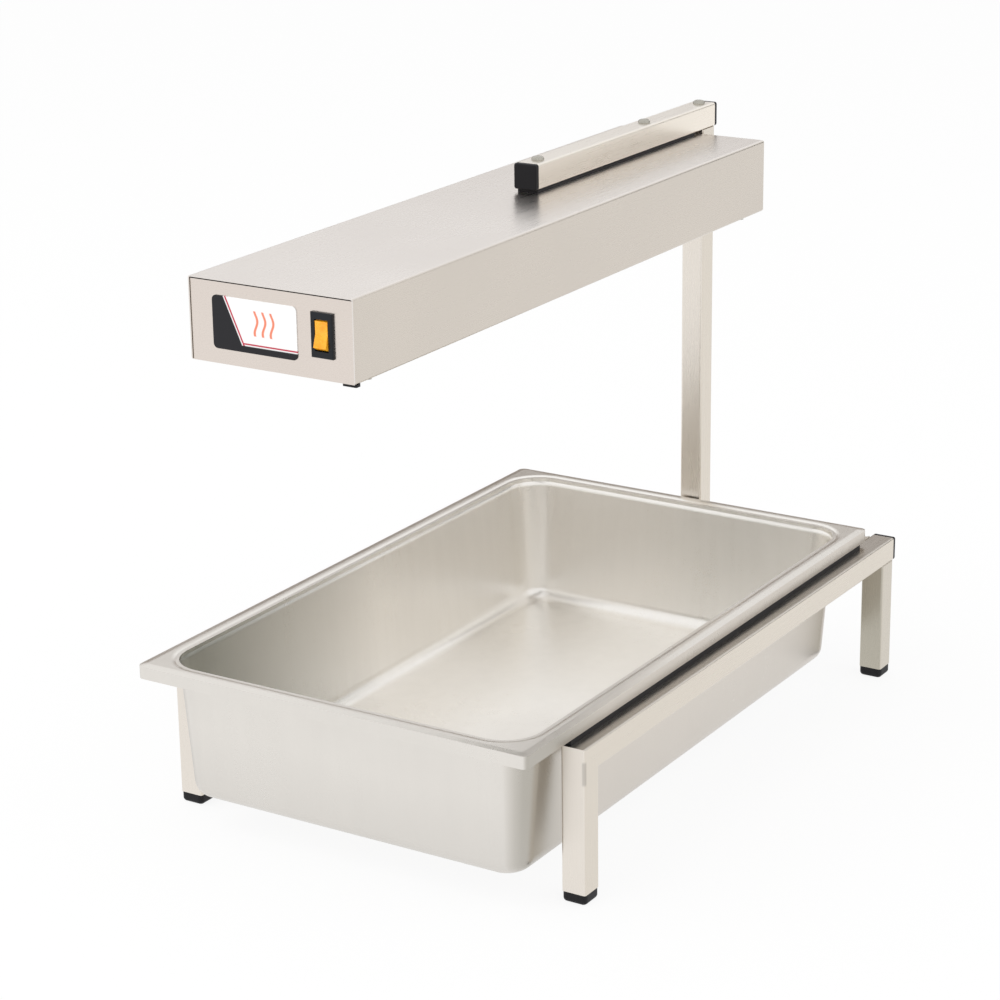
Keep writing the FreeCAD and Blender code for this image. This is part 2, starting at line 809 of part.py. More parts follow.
def make_housing():
    """The folded cover, open below, with two return flanges that carry what is inside."""
    outline = symmetric([
        (FLANGE_INNER, HEAD_BOTTOM),
        (HEAD_HALF, HEAD_BOTTOM),
        (HEAD_HALF, HEAD_TOP),
    ])
    inside = symmetric([
        (FLANGE_INNER, LEDGE),
        (SKIN_HALF, LEDGE),
        (SKIN_HALF, SKIN_TOP),
    ])
    mouth = rectangle((-FLANGE_INNER, HEAD_BOTTOM - S.overrun), (FLANGE_INNER, LEDGE + S.overrun))
    cover = Piece("housing_cover")
    cover.add("y", HEAD_FRONT, HEAD_REAR, outlines=[outline])
    past = S.overrun

    def bend(half):
        """Picks the long edges at one half width of the cover."""
        return lambda edge: runs_along(edge, "y") and near(abs(edge.CenterOfMass.x), half.value)

    cover.round(S.bend_outside, bend(HEAD_HALF))
    cover.remove("y", HEAD_FRONT - past, HEAD_REAR + past, outlines=[inside])
    cover.round(BEND_INSIDE, bend(SKIN_HALF))
    cover.remove("y", HEAD_FRONT - past, HEAD_REAR + past, outlines=[mouth])
    holes = [((ZERO, spot), HOLE) for spot in HANGER_SPOTS]
    cover.remove("z", SKIN_TOP - past, HEAD_TOP + past, circles=holes)
    across, front, rear = clip_screw_spots()
    screw_hole = S.clip_screw + S.bolt_clearance * 2
    holes = [((side, spot), screw_hole) for side in (-across, across) for spot in (front, rear)]
    cover.remove("z", HEAD_BOTTOM - past, LEDGE + past, circles=holes)
    ends = (
        (HEAD_FRONT - past, FRONT_FACE + S.sheet + S.panel_gap),
        (REAR_FACE - S.sheet - S.panel_gap, HEAD_REAR + past),
    )
    for low, high in ends:
        notch = rectangle((-PANEL_HALF - S.panel_gap, low), (PANEL_HALF + S.panel_gap, high))
        cover.remove("z", HEAD_BOTTOM - past, LEDGE + BEND_INSIDE, outlines=[notch])
    cover.done()


def end_panel(name, face, inward):
    """A tray that closes one end: face, side and top flanges, and a floor on the ledges."""

    def span(start, reach):
        """Two depths in rising order, from the face inwards."""
        if inward > 0:
            return face + start, face + reach
        return face - reach, face - start

    made = Piece(name)
    low, high = span(ZERO, S.sheet)
    made.add("y", low, high, outlines=[rectangle((-PANEL_HALF, HEAD_BOTTOM), (PANEL_HALF, PANEL_TOP))])
    low, high = span(S.sheet, S.panel_flange)
    top = rectangle((-PANEL_HALF, PANEL_TOP - S.sheet), (PANEL_HALF, PANEL_TOP))
    made.add("y", low, high, outlines=[top])
    for side in (-1, 1):
        inner = (PANEL_HALF - S.sheet) * side
        outer = PANEL_HALF * side
        edges = (inner, outer) if side > 0 else (outer, inner)
        flange = rectangle((edges[0], LEDGE + BEND_INSIDE), (edges[1], PANEL_TOP))
        made.add("y", low, high, outlines=[flange])
    low, high = span(S.sheet, BAY_LENGTH - S.panel_inset - S.bulkhead_sheet - S.panel_gap)
    floor_half = SKIN_HALF - BEND_INSIDE
    made.add("y", low, high, outlines=[rectangle((-floor_half, LEDGE), (floor_half, FLOOR_TOP))])
    across, front, rear = clip_screw_spots()
    spot = front if inward > 0 else rear
    screw_hole = S.clip_screw + S.bolt_clearance * 2
    holes = [((side, spot), screw_hole) for side in (-across, across)]
    made.remove("z", LEDGE - S.overrun, FLOOR_TOP + S.overrun, circles=holes)
    return made


def make_end_panels():
    past = S.overrun
    front = end_panel("front_end_panel", FRONT_FACE, 1)
    gap = S.cutout_gap * 2
    window = centred((SWITCH_REACH, SWITCH_HEIGHT), S.switch_body_width + gap, S.switch_body_height + gap)
    front.remove("y", FRONT_FACE - past, FRONT_FACE + S.sheet + past, outlines=[window])
    front.done()
    rear = end_panel("rear_end_panel", REAR_FACE, -1)
    inlet = ((INLET_REACH, INLET_HEIGHT), S.inlet_hole)
    rear.remove("y", REAR_FACE - S.sheet - past, REAR_FACE + past, circles=[inlet])
    rear.done()
    neck = ring(
        "grommet_neck", "y", (INLET_REACH, INLET_HEIGHT), S.inlet_hole - S.bushing_fit * 2, S.inlet_bore,
        REAR_FACE - S.sheet - S.grommet_lip, REAR_FACE + S.grommet_lip,
    )
    lips = []
    for number, low in enumerate((REAR_FACE - S.sheet - S.grommet_lip, REAR_FACE), start=1):
        lips.append(ring(
            f"grommet_lip_{number}", "y", (INLET_REACH, INLET_HEIGHT), S.grommet_flange, S.inlet_bore,
            low, low + S.grommet_lip,
        ))
    keep(fuse("grommet", [neck] + lips), "inlet_grommet")


def make_bulkheads():
    """Two partitions that part the wiring bays from the heated space."""
    past = S.overrun
    slot_middle = HEAD_TOP - S.wire_slot_drop
    slots = [
        centred((side, slot_middle), S.wire_slot_width, S.wire_slot_height)
        for side in (WIRE_SLOT_REACH, -WIRE_SLOT_REACH)
    ]
    spans = (
        ("front_bulkhead", FRONT_BULKHEAD - S.bulkhead_sheet, FRONT_BULKHEAD),
        ("rear_bulkhead", REAR_BULKHEAD, REAR_BULKHEAD + S.bulkhead_sheet),
    )
    outline = symmetric([
        (PANEL_HALF - BEND_INSIDE, LEDGE),
        (PANEL_HALF, LEDGE + BEND_INSIDE),
        (PANEL_HALF, PANEL_TOP),
    ])
    for name, low, high in spans:
        plate = Piece(name)
        plate.add("y", low, high, outlines=[outline])
        plate.remove("y", low - past, high + past, outlines=slots)
        if name == "rear_bulkhead":
            holes = [((side, ELEMENT_HEIGHT), S.bushing_neck + S.bushing_fit * 2) for side in ELEMENT_SIDES]
            plate.remove("y", low - past, high + past, circles=holes)
        plate.done()


def make_reflector():
    """A bright trough over the element; its lips rest on the housing's ledges."""
    lip_top = LEDGE + S.reflector_sheet
    top = LEDGE + S.reflector_height
    lip_end = SKIN_HALF - BEND_INSIDE
    outline = symmetric([
        (MOUTH_HALF - S.reflector_skin, LEDGE),
        (lip_end, LEDGE),
        (lip_end, lip_top),
        (MOUTH_HALF, lip_top),
        (CROWN_HALF, top),
    ])
    hollow = symmetric([
        (MOUTH_HALF - S.reflector_skin, LEDGE - S.overrun),
        (MOUTH_HALF - S.reflector_skin, LEDGE),
        (CROWN_HALF - S.reflector_skin, top - S.reflector_sheet),
    ])
    low = FRONT_BULKHEAD + S.running_gap
    high = REAR_BULKHEAD - S.running_gap
    trough = Piece("reflector")
    trough.add("y", low, high, outlines=[outline])
    trough.remove("y", low - S.overrun, high + S.overrun, outlines=[hollow])
    trough.done()
    half = SKIN_HALF - S.running_gap
    under = half - S.reflector_sheet
    baffle_top = LEDGE + BAFFLE_HEIGHT
    outer = rectangle((-half, lip_top), (half, baffle_top))
    inner = rectangle((-under, lip_top - S.overrun), (under, baffle_top - S.reflector_sheet))
    baffle = Piece("heat_baffle")
    baffle.add("y", low, high, outlines=[outer])
    baffle.remove("y", low - S.overrun, high + S.overrun, outlines=[inner])
    baffle.done()


def make_element():
    """A metal-sheathed hairpin heater, its bushings, hangers and terminals."""
    front = FRONT_BULKHEAD + S.element_front_gap
    radius = S.element_pitch.value / 2
    height = ELEMENT_HEIGHT.value
    left = ELEMENT_SIDES[0].value
    right = ELEMENT_SIDES[1].value
    bend = front.value + radius
    end = ELEMENT_END.value
    path = Part.Wire([
        Part.LineSegment(FreeCAD.Vector(left, end, height), FreeCAD.Vector(left, bend, height)).toShape(),
        Part.Arc(
            FreeCAD.Vector(left, bend, height), FreeCAD.Vector(0, front.value, height),
            FreeCAD.Vector(right, bend, height),
        ).toShape(),
        Part.LineSegment(FreeCAD.Vector(right, bend, height), FreeCAD.Vector(right, end, height)).toShape(),
    ])
    section = Part.Circle(FreeCAD.Vector(left, end, height), AXES["y"], S.element_diameter.value / 2)
    made = DOC.addObject("Part::Feature", "heating_element")
    made.Shape = path.makePipeShell([Part.Wire(section.toShape())], True, False)
    keep(made, "heating_element")

    bushings = []
    studs = []
    nuts = []
    for number, side in enumerate(ELEMENT_SIDES, start=1):
        centre = (side, ELEMENT_HEIGHT)
        bore = S.element_diameter + S.bushing_fit * 2
        flange_low = REAR_BULKHEAD + S.bulkhead_sheet
        flange_high = flange_low + S.bushing_flange_length
        neck_low = flange_low - S.bushing_neck_length
        name = f"bushing_flange_{number}"
        flange = ring(name, "y", centre, S.bushing_flange, bore, flange_low, flange_high)
        neck = ring(f"bushing_neck_{number}", "y", centre, S.bushing_neck, bore, neck_low, flange_high)
        bushings.append(fuse(f"bushing_{number}", [flange, neck]))
        stud_high = ELEMENT_END + S.stud_length
        studs.append(rod(f"stud_{number}", "y", centre, S.stud_diameter, ELEMENT_END, stud_high))
        nut_low = ELEMENT_END + S.stud_nut_setback
        nut_bore = S.stud_diameter + S.thread_play
        nut_high = nut_low + S.stud_nut_height
        nuts.append(nut(f"stud_nut_{number}", "y", centre, S.stud_nut_corners, nut_bore, nut_low, nut_high))
    keep(group("bushing_group", bushings), "element_bushings")
    keep(group("stud_group", studs), "element_terminals")
    keep(group("stud_nut_group", nuts), "terminal_nuts")

    roof = LEDGE + S.reflector_height - S.reflector_sheet
    middle = (FRONT_BULKHEAD + REAR_BULKHEAD) / 2
    hangers = []
    for number, side in enumerate((-1, 1), start=1):
        spot = middle + S.strip_spacing / 2 * side
        strip = Piece(f"element_hanger_{number}")
        plate = rectangle((-STRIP_HALF, ELEMENT_HEIGHT - S.hanger_strip_drop), (STRIP_HALF, roof))
        strip.add("y", spot, spot + S.hanger_strip, outlines=[plate])
        foot = rectangle((-STRIP_HALF, roof - S.hanger_strip), (STRIP_HALF, roof))
        strip.add("y", spot + S.hanger_strip, spot + S.hanger_strip_flange, outlines=[foot])
        hole = S.element_diameter + S.running_gap
        holes = [((across, ELEMENT_HEIGHT), hole) for across in ELEMENT_SIDES]
        strip.remove("y", spot - S.overrun, spot + S.hanger_strip + S.overrun, circles=holes)
        hangers.append(strip.body)
    keep(group("element_hanger_group", hangers), "element_hangers")


def block_screw_places():
    """The middle of each terminal screw on the block's top."""
    depth = REAR_FACE - S.sheet - S.block_setback - S.block_depth / 2
    return [(S.block_screw_pitch * step, depth) for step in (-1, 0, 1)]


def make_terminal_block():
    """A three-way block on the rear tray's floor, with its screws, and the earth stud beside it."""
    back = REAR_FACE - S.sheet - S.block_setback
    low = (-(S.block_width / 2), back - S.block_depth)
    high = (S.block_width / 2, back)
    top = FLOOR_TOP + S.block_height
    made = Piece("terminal_block")
    made.add("z", FLOOR_TOP, top, outlines=[rectangle(low, high)])
    half_slot = S.screw_slot / 2
    for side in (-1, 1):
        wall = S.block_screw_pitch / 2 * side
        groove = rectangle((wall - half_slot, low[1] - S.overrun), (wall + half_slot, high[1] + S.overrun))
        made.remove("z", top - S.block_screw_height, top + S.overrun, outlines=[groove])
    made.done()
    screws = []
    for number, (across, depth) in enumerate(block_screw_places(), start=1):
        screw_top = top + S.block_screw_height
        middle = (across, depth)
        head = rod(f"block_screw_head_{number}", "z", middle, S.block_screw_diameter, top, screw_top)
        reach = S.block_screw_diameter
        slot = block(
            f"block_screw_slot_{number}",
            (across - reach, depth - half_slot, screw_top - S.screw_slot_depth),
            (across + reach, depth + half_slot, screw_top + S.overrun),
        )
        screws.append(cut(f"block_screw_{number}", head, slot))
    keep(group("block_screw_group", screws), "terminal_screws")
    centre = (-EARTH_REACH, EARTH_HEIGHT)
    start = REAR_BULKHEAD + S.bulkhead_sheet
    keep(rod("earth_stud", "y", centre, S.stud_diameter, start, start + S.earth_length), "earth_stud")
    nut_bore = S.stud_diameter + S.thread_play
    nut_high = start + S.stud_nut_height
    keep(nut("earth_nut", "y", centre, S.stud_nut_corners, nut_bore, start, nut_high), "earth_nut")


def make_switch():
    """A lit rocker switch snapped into the front panel."""
    middle = (SWITCH_REACH, SWITCH_HEIGHT)
    face = FRONT_FACE
    back = face + S.switch_body_depth
    past = S.overrun
    opening_width = S.rocker_width + S.rocker_side_gap * 2
    opening_height = (S.rocker_radius + S.rocker_end_gap) * 2
    wall = S.switch_wall * 2
    pivot = (face + S.pivot_depth, SWITCH_HEIGHT)

    body = Piece("switch_body")
    body.add("y", face - S.bezel_proud, face, outlines=[centred(middle, S.bezel_width, S.bezel_height)])
    body.round(S.bezel_round, lambda edge: lies_at(edge, "y", face - S.bezel_proud))
    body.add("y", face, back, outlines=[centred(middle, S.switch_body_width, S.switch_body_height)])
    cavity = centred(middle, S.switch_body_width - wall, S.switch_body_height - wall)
    body.remove("y", face, back - S.switch_wall, outlines=[cavity])
    opening = centred(middle, opening_width, opening_height)
    body.remove("y", face - S.bezel_proud - past, face + S.switch_wall, outlines=[opening])
    half = S.switch_body_width / 2
    hole = (pivot, S.pin_diameter + S.pin_fit * 2)
    body.remove("x", SWITCH_REACH - half - past, SWITCH_REACH + half + past, circles=[hole])
    body.done()

    radius = S.rocker_radius
    side = [
        (-(radius * ROCKER_TIP_DEPTH_SHARE), radius * ROCKER_TIP_REACH_SHARE),
        (-(radius * ROCKER_SIDE_DEPTH_SHARE), radius * ROCKER_SIDE_REACH_SHARE),
        (radius * ROCKER_BACK_DEPTH_SHARE, radius * ROCKER_BACK_REACH_SHARE),
    ]
    outline = [(-(radius * ROCKER_FACE_SHARE), ZERO)] + side + [(depth, -up) for depth, up in reversed(side)]
    rocker = Piece("switch_rocker")
    half_rocker = S.rocker_width / 2
    rocker.add("x", -half_rocker, half_rocker, outlines=[outline])
    bore = ((ZERO, ZERO), S.pin_diameter)
    rocker.remove("x", -half_rocker - past, half_rocker + past, circles=[bore])
    tilt = FreeCAD.Rotation(AXES["x"], -ROCKER_TILT_DEGREES)
    rocker.body.Placement = FreeCAD.Placement(FreeCAD.Vector(), tilt)
    bind_place(rocker.body, (SWITCH_REACH, pivot[0], pivot[1]))
    rocker.done()
    reach = half - S.pin_end_gap
    pin = rod("rocker_pin", "x", pivot, S.pin_diameter, SWITCH_REACH - reach, SWITCH_REACH + reach)
    keep(pin, "rocker_pivot_pin")

    lamp_end = back - S.switch_wall
    lamp = rod("pilot_lamp", "y", middle, S.lamp_diameter, lamp_end - S.lamp_length, lamp_end)
    keep(lamp, "pilot_lamp")
    tabs = []
    for number, step in enumerate((-1, 0, 1), start=1):
        height = SWITCH_HEIGHT + S.tab_pitch * step
        low = (SWITCH_REACH - S.tab_width / 2, back, height - S.tab_sheet / 2)
        high = (SWITCH_REACH + S.tab_width / 2, back + S.tab_length, height + S.tab_sheet / 2)
        tabs.append(block(f"switch_tab_{number}", low, high))
    keep(group("switch_tab_group", tabs), "switch_terminals")


def make_nameplate():
    """A thin plate with rounded corners on the front panel."""
    made = Piece("nameplate")
    middle = HEAD_MIDDLE - S.plate_drop
    half = S.plate_height / 2
    outline = rectangle((PLATE_LEFT, middle - half), (PLATE_RIGHT, middle + half))
    made.add("y", FRONT_FACE - S.plate_sheet, FRONT_FACE, outlines=[outline])
    made.round(S.plate_round, lambda edge: runs_along(edge, "y"))
    made.done()


def make_guard():
    """A welded wire guard across the mouth, with four screwed clips and a pad at one corner."""
    height = HEAD_BOTTOM - S.guard_seat_gap - S.guard_wire / 2
    low = HEAD_FRONT + S.guard_end_gap
    high = HEAD_REAR - S.guard_end_gap
    sides = (-GUARD_REACH, GUARD_REACH)
    wires = [
        rod(f"guard_wire_{number}", "y", (side, height), S.guard_wire, low, high)
        for number, side in enumerate(sides, start=1)
    ]
    first = low + S.guard_pitch / 2
    count = int((high - first).value // S.guard_pitch.value) + 1
    spare = (high - low - S.guard_pitch * (count - 1)) / 2
    for number in range(count):
        spot = low + spare + S.guard_pitch * number
        wires.append(rod(f"guard_rung_{number + 1}", "x", (spot, height), S.guard_rung, sides[0], sides[1]))
    keep(fuse("guard", wires), "wire_guard")

    web = GUARD_REACH + S.guard_wire / 2 + S.clip_web_gap
    tip = GUARD_REACH - S.guard_wire / 2 - S.clip_edge
    outer = HEAD_HALF - S.clip_margin
    profile = [
        (outer, HEAD_BOTTOM),
        (outer, HEAD_BOTTOM - S.clip_sheet),
        (web + S.clip_sheet, HEAD_BOTTOM - S.clip_sheet),
        (web + S.clip_sheet, CLIP_LOW),
        (tip, CLIP_LOW),
        (tip, CLIP_LOW + S.clip_sheet),
        (web, CLIP_LOW + S.clip_sheet),
        (web, HEAD_BOTTOM),
    ]
    across, front, rear = clip_screw_spots()
    clips = []
    screws = []
    nuts = []
    number = 0
    for side in (-1, 1):
        for spot in (front, rear):
            number += 1
            clip = Piece(f"guard_clip_{number}")
            outline = [(reach * side, up) for reach, up in profile]
            start = spot - S.clip_length / 2
            clip.add("y", start, start + S.clip_length, outlines=[outline])
            middle = (across * side, spot)
            hole = (middle, S.clip_screw + S.bolt_clearance * 2)
            foot_low = HEAD_BOTTOM - S.clip_sheet - S.clip_edge
            clip.remove("z", foot_low, HEAD_BOTTOM + S.overrun, circles=[hole])
            clips.append(clip.body)
            head_top = HEAD_BOTTOM - S.clip_sheet
            head_low = head_top - S.clip_screw_head_height
            nut_top = FLOOR_TOP + S.clip_nut_height
            head = rod(f"clip_head_{number}", "z", middle, S.clip_screw_head, head_low, head_top)
            shank_top = nut_top + S.clip_screw_tail
            shank = rod(f"clip_shank_{number}", "z", middle, S.clip_screw, head_low, shank_top)
            screws.append(fuse(f"clip_screw_{number}", [head, shank]))
            bore = S.clip_screw + S.thread_play
            nuts.append(nut(f"clip_nut_{number}", "z", middle, S.clip_nut_corners, bore, FLOOR_TOP, nut_top))
    keep(group("clip_group", clips), "guard_clips")
    keep(group("clip_screw_group", screws), "guard_screws")
    keep(group("clip_nut_group", nuts), "guard_nuts")

    bumper = Piece("front_bumper")
    low = (web, HEAD_FRONT + S.bumper_setback)
    high = (HEAD_HALF - S.clip_edge, low[1] + S.bumper_length)
    bumper.add("z", HEAD_BOTTOM - S.bumper_height, HEAD_BOTTOM, outlines=[rectangle(low, high)])
    bumper.round(S.bumper_round, lambda edge: runs_along(edge, "z"))
    bumper.done()


def lead(name, route):
    """An insulated wire: straight runs joined by tangent arcs of the bend radius."""
    points = [FreeCAD.Vector(*(size.value for size in place)) for place in route]
    edges = []
    start = points[0]
    length = 0.0
    for before, corner, after in zip(points, points[1:], points[2:]):
        inward = (corner - before).normalize()
        outward = (after - corner).normalize()
        turn = inward.getAngle(outward)
        room = min((corner - before).Length, (after - corner).Length) * LEAD_ROOM_SHARE
        setback = min(S.lead_bend.value * math.tan(turn / 2), room)
        radius = setback / math.tan(turn / 2)
        first = corner - inward * setback
        last = corner + outward * setback
        middle = corner + (outward - inward).normalize() * (radius / math.cos(turn / 2) - radius)
        edges.append(Part.LineSegment(start, first).toShape())
        length += (first - start).Length
        edges.append(Part.Arc(first, middle, last).toShape())
        length += radius * turn
        start = last
    edges.append(Part.LineSegment(start, points[-1]).toShape())
    length += (points[-1] - start).Length
    radius = S.lead_diameter.value / 2
    section = Part.Circle(points[0], (points[1] - points[0]).normalize(), radius)
    made = DOC.addObject("Part::Feature", name)
    made.Shape = Part.Wire(edges).makePipeShell([Part.Wire(section.toShape())], True, False)
    share = made.Shape.Volume / (math.pi * radius * radius * length)
    print(f"{name}: {length:.0f} mm long, volume over section times length {share:.3f}")
    return keep(made, name)


def make_leads():
    """The wires between the terminal block, the switch, the element and earth, over the baffle."""
    run = S.lead_run
    channel = HEAD_TOP - S.wire_slot_drop
    tab_end = FRONT_FACE + S.switch_body_depth + S.tab_length + S.lead_gap
    screw_top = FLOOR_TOP + S.block_height + S.block_screw_height + S.lead_gap
    stud_end = ELEMENT_END + S.stud_length + S.lead_gap
    earth_end = REAR_BULKHEAD + S.bulkhead_sheet + S.earth_length + S.lead_gap
    (earth_screw, depth), (neutral_screw, _), (live_screw, _) = block_screw_places()
    offset = S.lead_pitch / 2
    left_stud, right_stud = ELEMENT_SIDES

    def from_switch(order):
        """From one switch tab, up and back into its own lane through the front slot."""
        lane = WIRE_SLOT_REACH + S.lead_pitch * order
        height = SWITCH_HEIGHT + S.tab_pitch * order
        column = tab_end + run * 2 - run * order
        return lane, [
            (SWITCH_REACH, tab_end, height),
            (SWITCH_REACH, column, height),
            (lane, column, channel),
        ]

    lane, start = from_switch(-1)
    lead("live_feed_lead", start + [
        (lane, depth - run * 2, channel),
        (live_screw, depth, channel - run * 2),
        (live_screw, depth, screw_top),
    ])
    lane, start = from_switch(0)
    lead("switched_live_lead", start + [
        (lane, depth - run * 4, channel),
        (right_stud + run * 2, depth - run * 2, channel - run * 2),
        (right_stud, stud_end + run * 2, ELEMENT_HEIGHT),
        (right_stud, stud_end, ELEMENT_HEIGHT),
    ])
    lane, start = from_switch(1)
    lead("pilot_lead", start + [
        (lane, depth - run, channel),
        (neutral_screw + offset, depth, channel),
        (neutral_screw + offset, depth, screw_top),
    ])
    lead("neutral_lead", [
        (neutral_screw - offset, depth, screw_top),
        (neutral_screw - offset, depth, screw_top + run * 2),
        (left_stud, depth - run, screw_top + run * 2),
        (left_stud, depth - run, ELEMENT_HEIGHT),
        (left_stud, stud_end, ELEMENT_HEIGHT),
    ])
    lead("earth_lead", [
        (earth_screw, depth, screw_top),
        (earth_screw, depth, screw_top + run),
        (-EARTH_REACH + run * 2, depth, screw_top + run),
        (-EARTH_REACH, depth - run * 2, EARTH_HEIGHT),
        (-EARTH_REACH, earth_end, EARTH_HEIGHT),
    ])


def pan_form(name, inset, top):
    """The drafted tub of the pan up to a height, drawn in by the inset on every face."""
    floor = PAN_RIM - S.pan_depth + inset
    drawn_in = (PAN_FLANGE + S.pan_draft + inset) * 2
    corner = S.pan_inner_corner - S.pan_draft - inset
    outline = Rounded((ZERO, PAN_MIDDLE), PAN_WIDTH - drawn_in, S.pan_length - drawn_in, corner)
    form = Piece(name)
    form.drafted(floor, top, outline, S.pan_draft, S.pan_depth)
    form.round(S.pan_floor_round - inset, lambda edge: lies_at(edge, "z", floor))
    return form.body


def make_pan():
    """A full-size food pan: drafted tub, shallow flange and a turned-down, hemmed lip."""
    rim = PAN_RIM
    shoulder = rim - S.pan_flange_drop
    middle = (ZERO, PAN_MIDDLE)

    def cap(name, inset, bottom):
        """The flange's slope and lip as a solid, drawn in by the inset."""
        outer_width = PAN_WIDTH - inset * 2
        outer_length = S.pan_length - inset * 2
        outer = Rounded(middle, outer_width, outer_length, S.pan_outer_corner - inset)
        slope = S.pan_slope * 2
        inner = Rounded(middle, outer_width - slope, outer_length - slope, S.pan_slope_corner)
        form = Piece(name)
        form.add("z", bottom, shoulder - inset, outlines=[outer])
        form.loft([(shoulder - inset, outer), (rim - inset, inner)])
        return form.body

    top = cap("pan_cap", ZERO, PAN_SEAT)
    under = cap("pan_under_cap", S.pan_wall, PAN_SEAT + S.pan_wall)
    throat = Piece("pan_throat")
    inset = (S.pan_wall + S.pan_hem) * 2
    outline = centred(middle, PAN_WIDTH - inset, S.pan_length - inset)
    throat.add("z", PAN_SEAT - S.overrun, shoulder - S.pan_wall, outlines=[outline])
    shell = cut("pan_flange_shell", cut("pan_flange_blank", top, under), throat.body)
    tub = pan_form("pan_tub", ZERO, rim)
    inner = pan_form("pan_tub_inside", S.pan_wall, rim + S.overrun)
    blank = fuse("pan_blank", [shell, tub])
    hollow = cut("pan_hollow", blank, inner)
    DOC.recompute()
    reach = PAN_FLANGE - PAN_MOUTH_ROUND
    half_width = (PAN_WIDTH / 2 - reach).value
    half_length = (S.pan_length / 2 - reach).value

    def at_mouth(edge):
        spot = edge.CenterOfMass
        beside = abs(spot.x) < half_width and abs(spot.y - PAN_MIDDLE.value) < half_length
        return beside and lies_at(edge, "z", rim)

    radius = PAN_MOUTH_ROUND.value
    made = DOC.addObject("Part::Fillet", "pan")
    made.Base = hollow
    made.Edges = [
        (number, radius, radius)
        for number, edge in enumerate(hollow.Shape.Edges, start=1)
        if at_mouth(edge)
    ]
    keep(made, "food_pan")


def make_pan_rests():
    """Low strips on the rails, under the pan's lip."""
    inner = REST_OUTER - S.rest_width
    front = STAND_FRONT + S.rest_front_gap
    rear = PAN_REAR - S.rest_rear_gap
    left = block("left_pan_rest", (-REST_OUTER, front, RAIL_TOP), (-inner, rear, PAN_SEAT))
    right = block("right_pan_rest", (inner, front, RAIL_TOP), (REST_OUTER, rear, PAN_SEAT))
    keep(group("pan_rest_pair", [left, right]), "pan_rests")


def build():
    make_rails()
    make_legs()
    make_post_and_arm()
    make_post_bolt()
    make_hangers()
    make_housing()
    make_end_panels()
    make_bulkheads()
    make_reflector()
    make_element()
    make_terminal_block()
    make_switch()
    make_nameplate()
    make_guard()
    make_leads()
    make_pan()
    make_pan_rests()
    DOC.recompute()


def write():
    """Checks every object and shape, then writes one file for each node."""
    for made in DOC.Objects:
        if "Invalid" in made.State or "Error" in made.State:
            raise RuntimeError(f"{made.Name} failed: {made.State}")
    for made in NODES:
        if made.Shape.isNull() or not made.Shape.isValid():
            raise RuntimeError(f"{made.Label}: bad shape")
    for made in NODES:
        made.Shape.exportStep(f"parts/{made.Label}.step")
    print(f"{len(NODES)} nodes")


build()
write()
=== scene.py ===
import json
import math

import bmesh
import bpy
from mathutils import Matrix, Vector


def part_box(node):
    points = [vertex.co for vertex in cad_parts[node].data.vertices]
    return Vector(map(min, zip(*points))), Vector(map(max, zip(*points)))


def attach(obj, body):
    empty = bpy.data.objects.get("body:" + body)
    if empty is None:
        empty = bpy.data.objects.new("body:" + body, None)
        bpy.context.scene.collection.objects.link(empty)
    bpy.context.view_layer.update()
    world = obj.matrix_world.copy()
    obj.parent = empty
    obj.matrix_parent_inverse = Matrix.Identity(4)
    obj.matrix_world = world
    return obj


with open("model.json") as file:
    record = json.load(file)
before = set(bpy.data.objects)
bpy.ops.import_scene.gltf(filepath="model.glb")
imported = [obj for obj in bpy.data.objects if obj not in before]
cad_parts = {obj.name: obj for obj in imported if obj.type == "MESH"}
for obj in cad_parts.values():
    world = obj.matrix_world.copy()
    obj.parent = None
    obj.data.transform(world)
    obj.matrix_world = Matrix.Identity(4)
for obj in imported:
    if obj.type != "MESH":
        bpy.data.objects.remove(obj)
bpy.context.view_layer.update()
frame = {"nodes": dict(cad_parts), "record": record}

NODES = frame["nodes"]
SCENE = bpy.context.scene
MM = 0.001
WHITE = (1, 1, 1, 1)


def srgb(red, green, blue):
    """A colour on the 0 to 255 display scale as linear light."""

    def linear(value):
        share = value / 255
        if share <= 0.04045:
            return share / 12.92
        return ((share + 0.055) / 1.055) ** 2.4

    return (linear(red), linear(green), linear(blue), 1.0)


def shade(colour, factor):
    """The colour made lighter or darker."""
    return tuple(min(1.0, part * factor) for part in colour[:3]) + (1.0,)


# Camera

CAMERA_PLACE = Vector((1.0716, -1.7325, 0.8901))
CAMERA_AZIMUTH = math.radians(32.1)
CAMERA_ELEVATION = math.radians(18.5)
CAMERA_ROLL = math.radians(-0.8)
CAMERA_LENS = 102.85
SENSOR_WIDTH = 36
CLIP_START = 0.05
CLIP_END = 50


def make_camera():
    data = bpy.data.cameras.new("camera")
    data.sensor_fit = "HORIZONTAL"
    data.sensor_width = SENSOR_WIDTH
    data.lens = CAMERA_LENS
    data.clip_start = CLIP_START
    data.clip_end = CLIP_END
    camera = bpy.data.objects.new("camera", data)
    SCENE.collection.objects.link(camera)
    back = Vector((
        math.sin(CAMERA_AZIMUTH) * math.cos(CAMERA_ELEVATION),
        -math.cos(CAMERA_AZIMUTH) * math.cos(CAMERA_ELEVATION),
        math.sin(CAMERA_ELEVATION),
    ))
    level = Vector((0, 0, 1)).cross(back).normalized()
    rise = back.cross(level)
    across = level * math.cos(CAMERA_ROLL) + rise * math.sin(CAMERA_ROLL)
    up = rise * math.cos(CAMERA_ROLL) - level * math.sin(CAMERA_ROLL)
    turn = Matrix((across, up, back)).transposed()
    camera.matrix_world = Matrix.Translation(CAMERA_PLACE) @ turn.to_4x4()
    SCENE.camera = camera


# Shader helpers

MATERIALS = {}


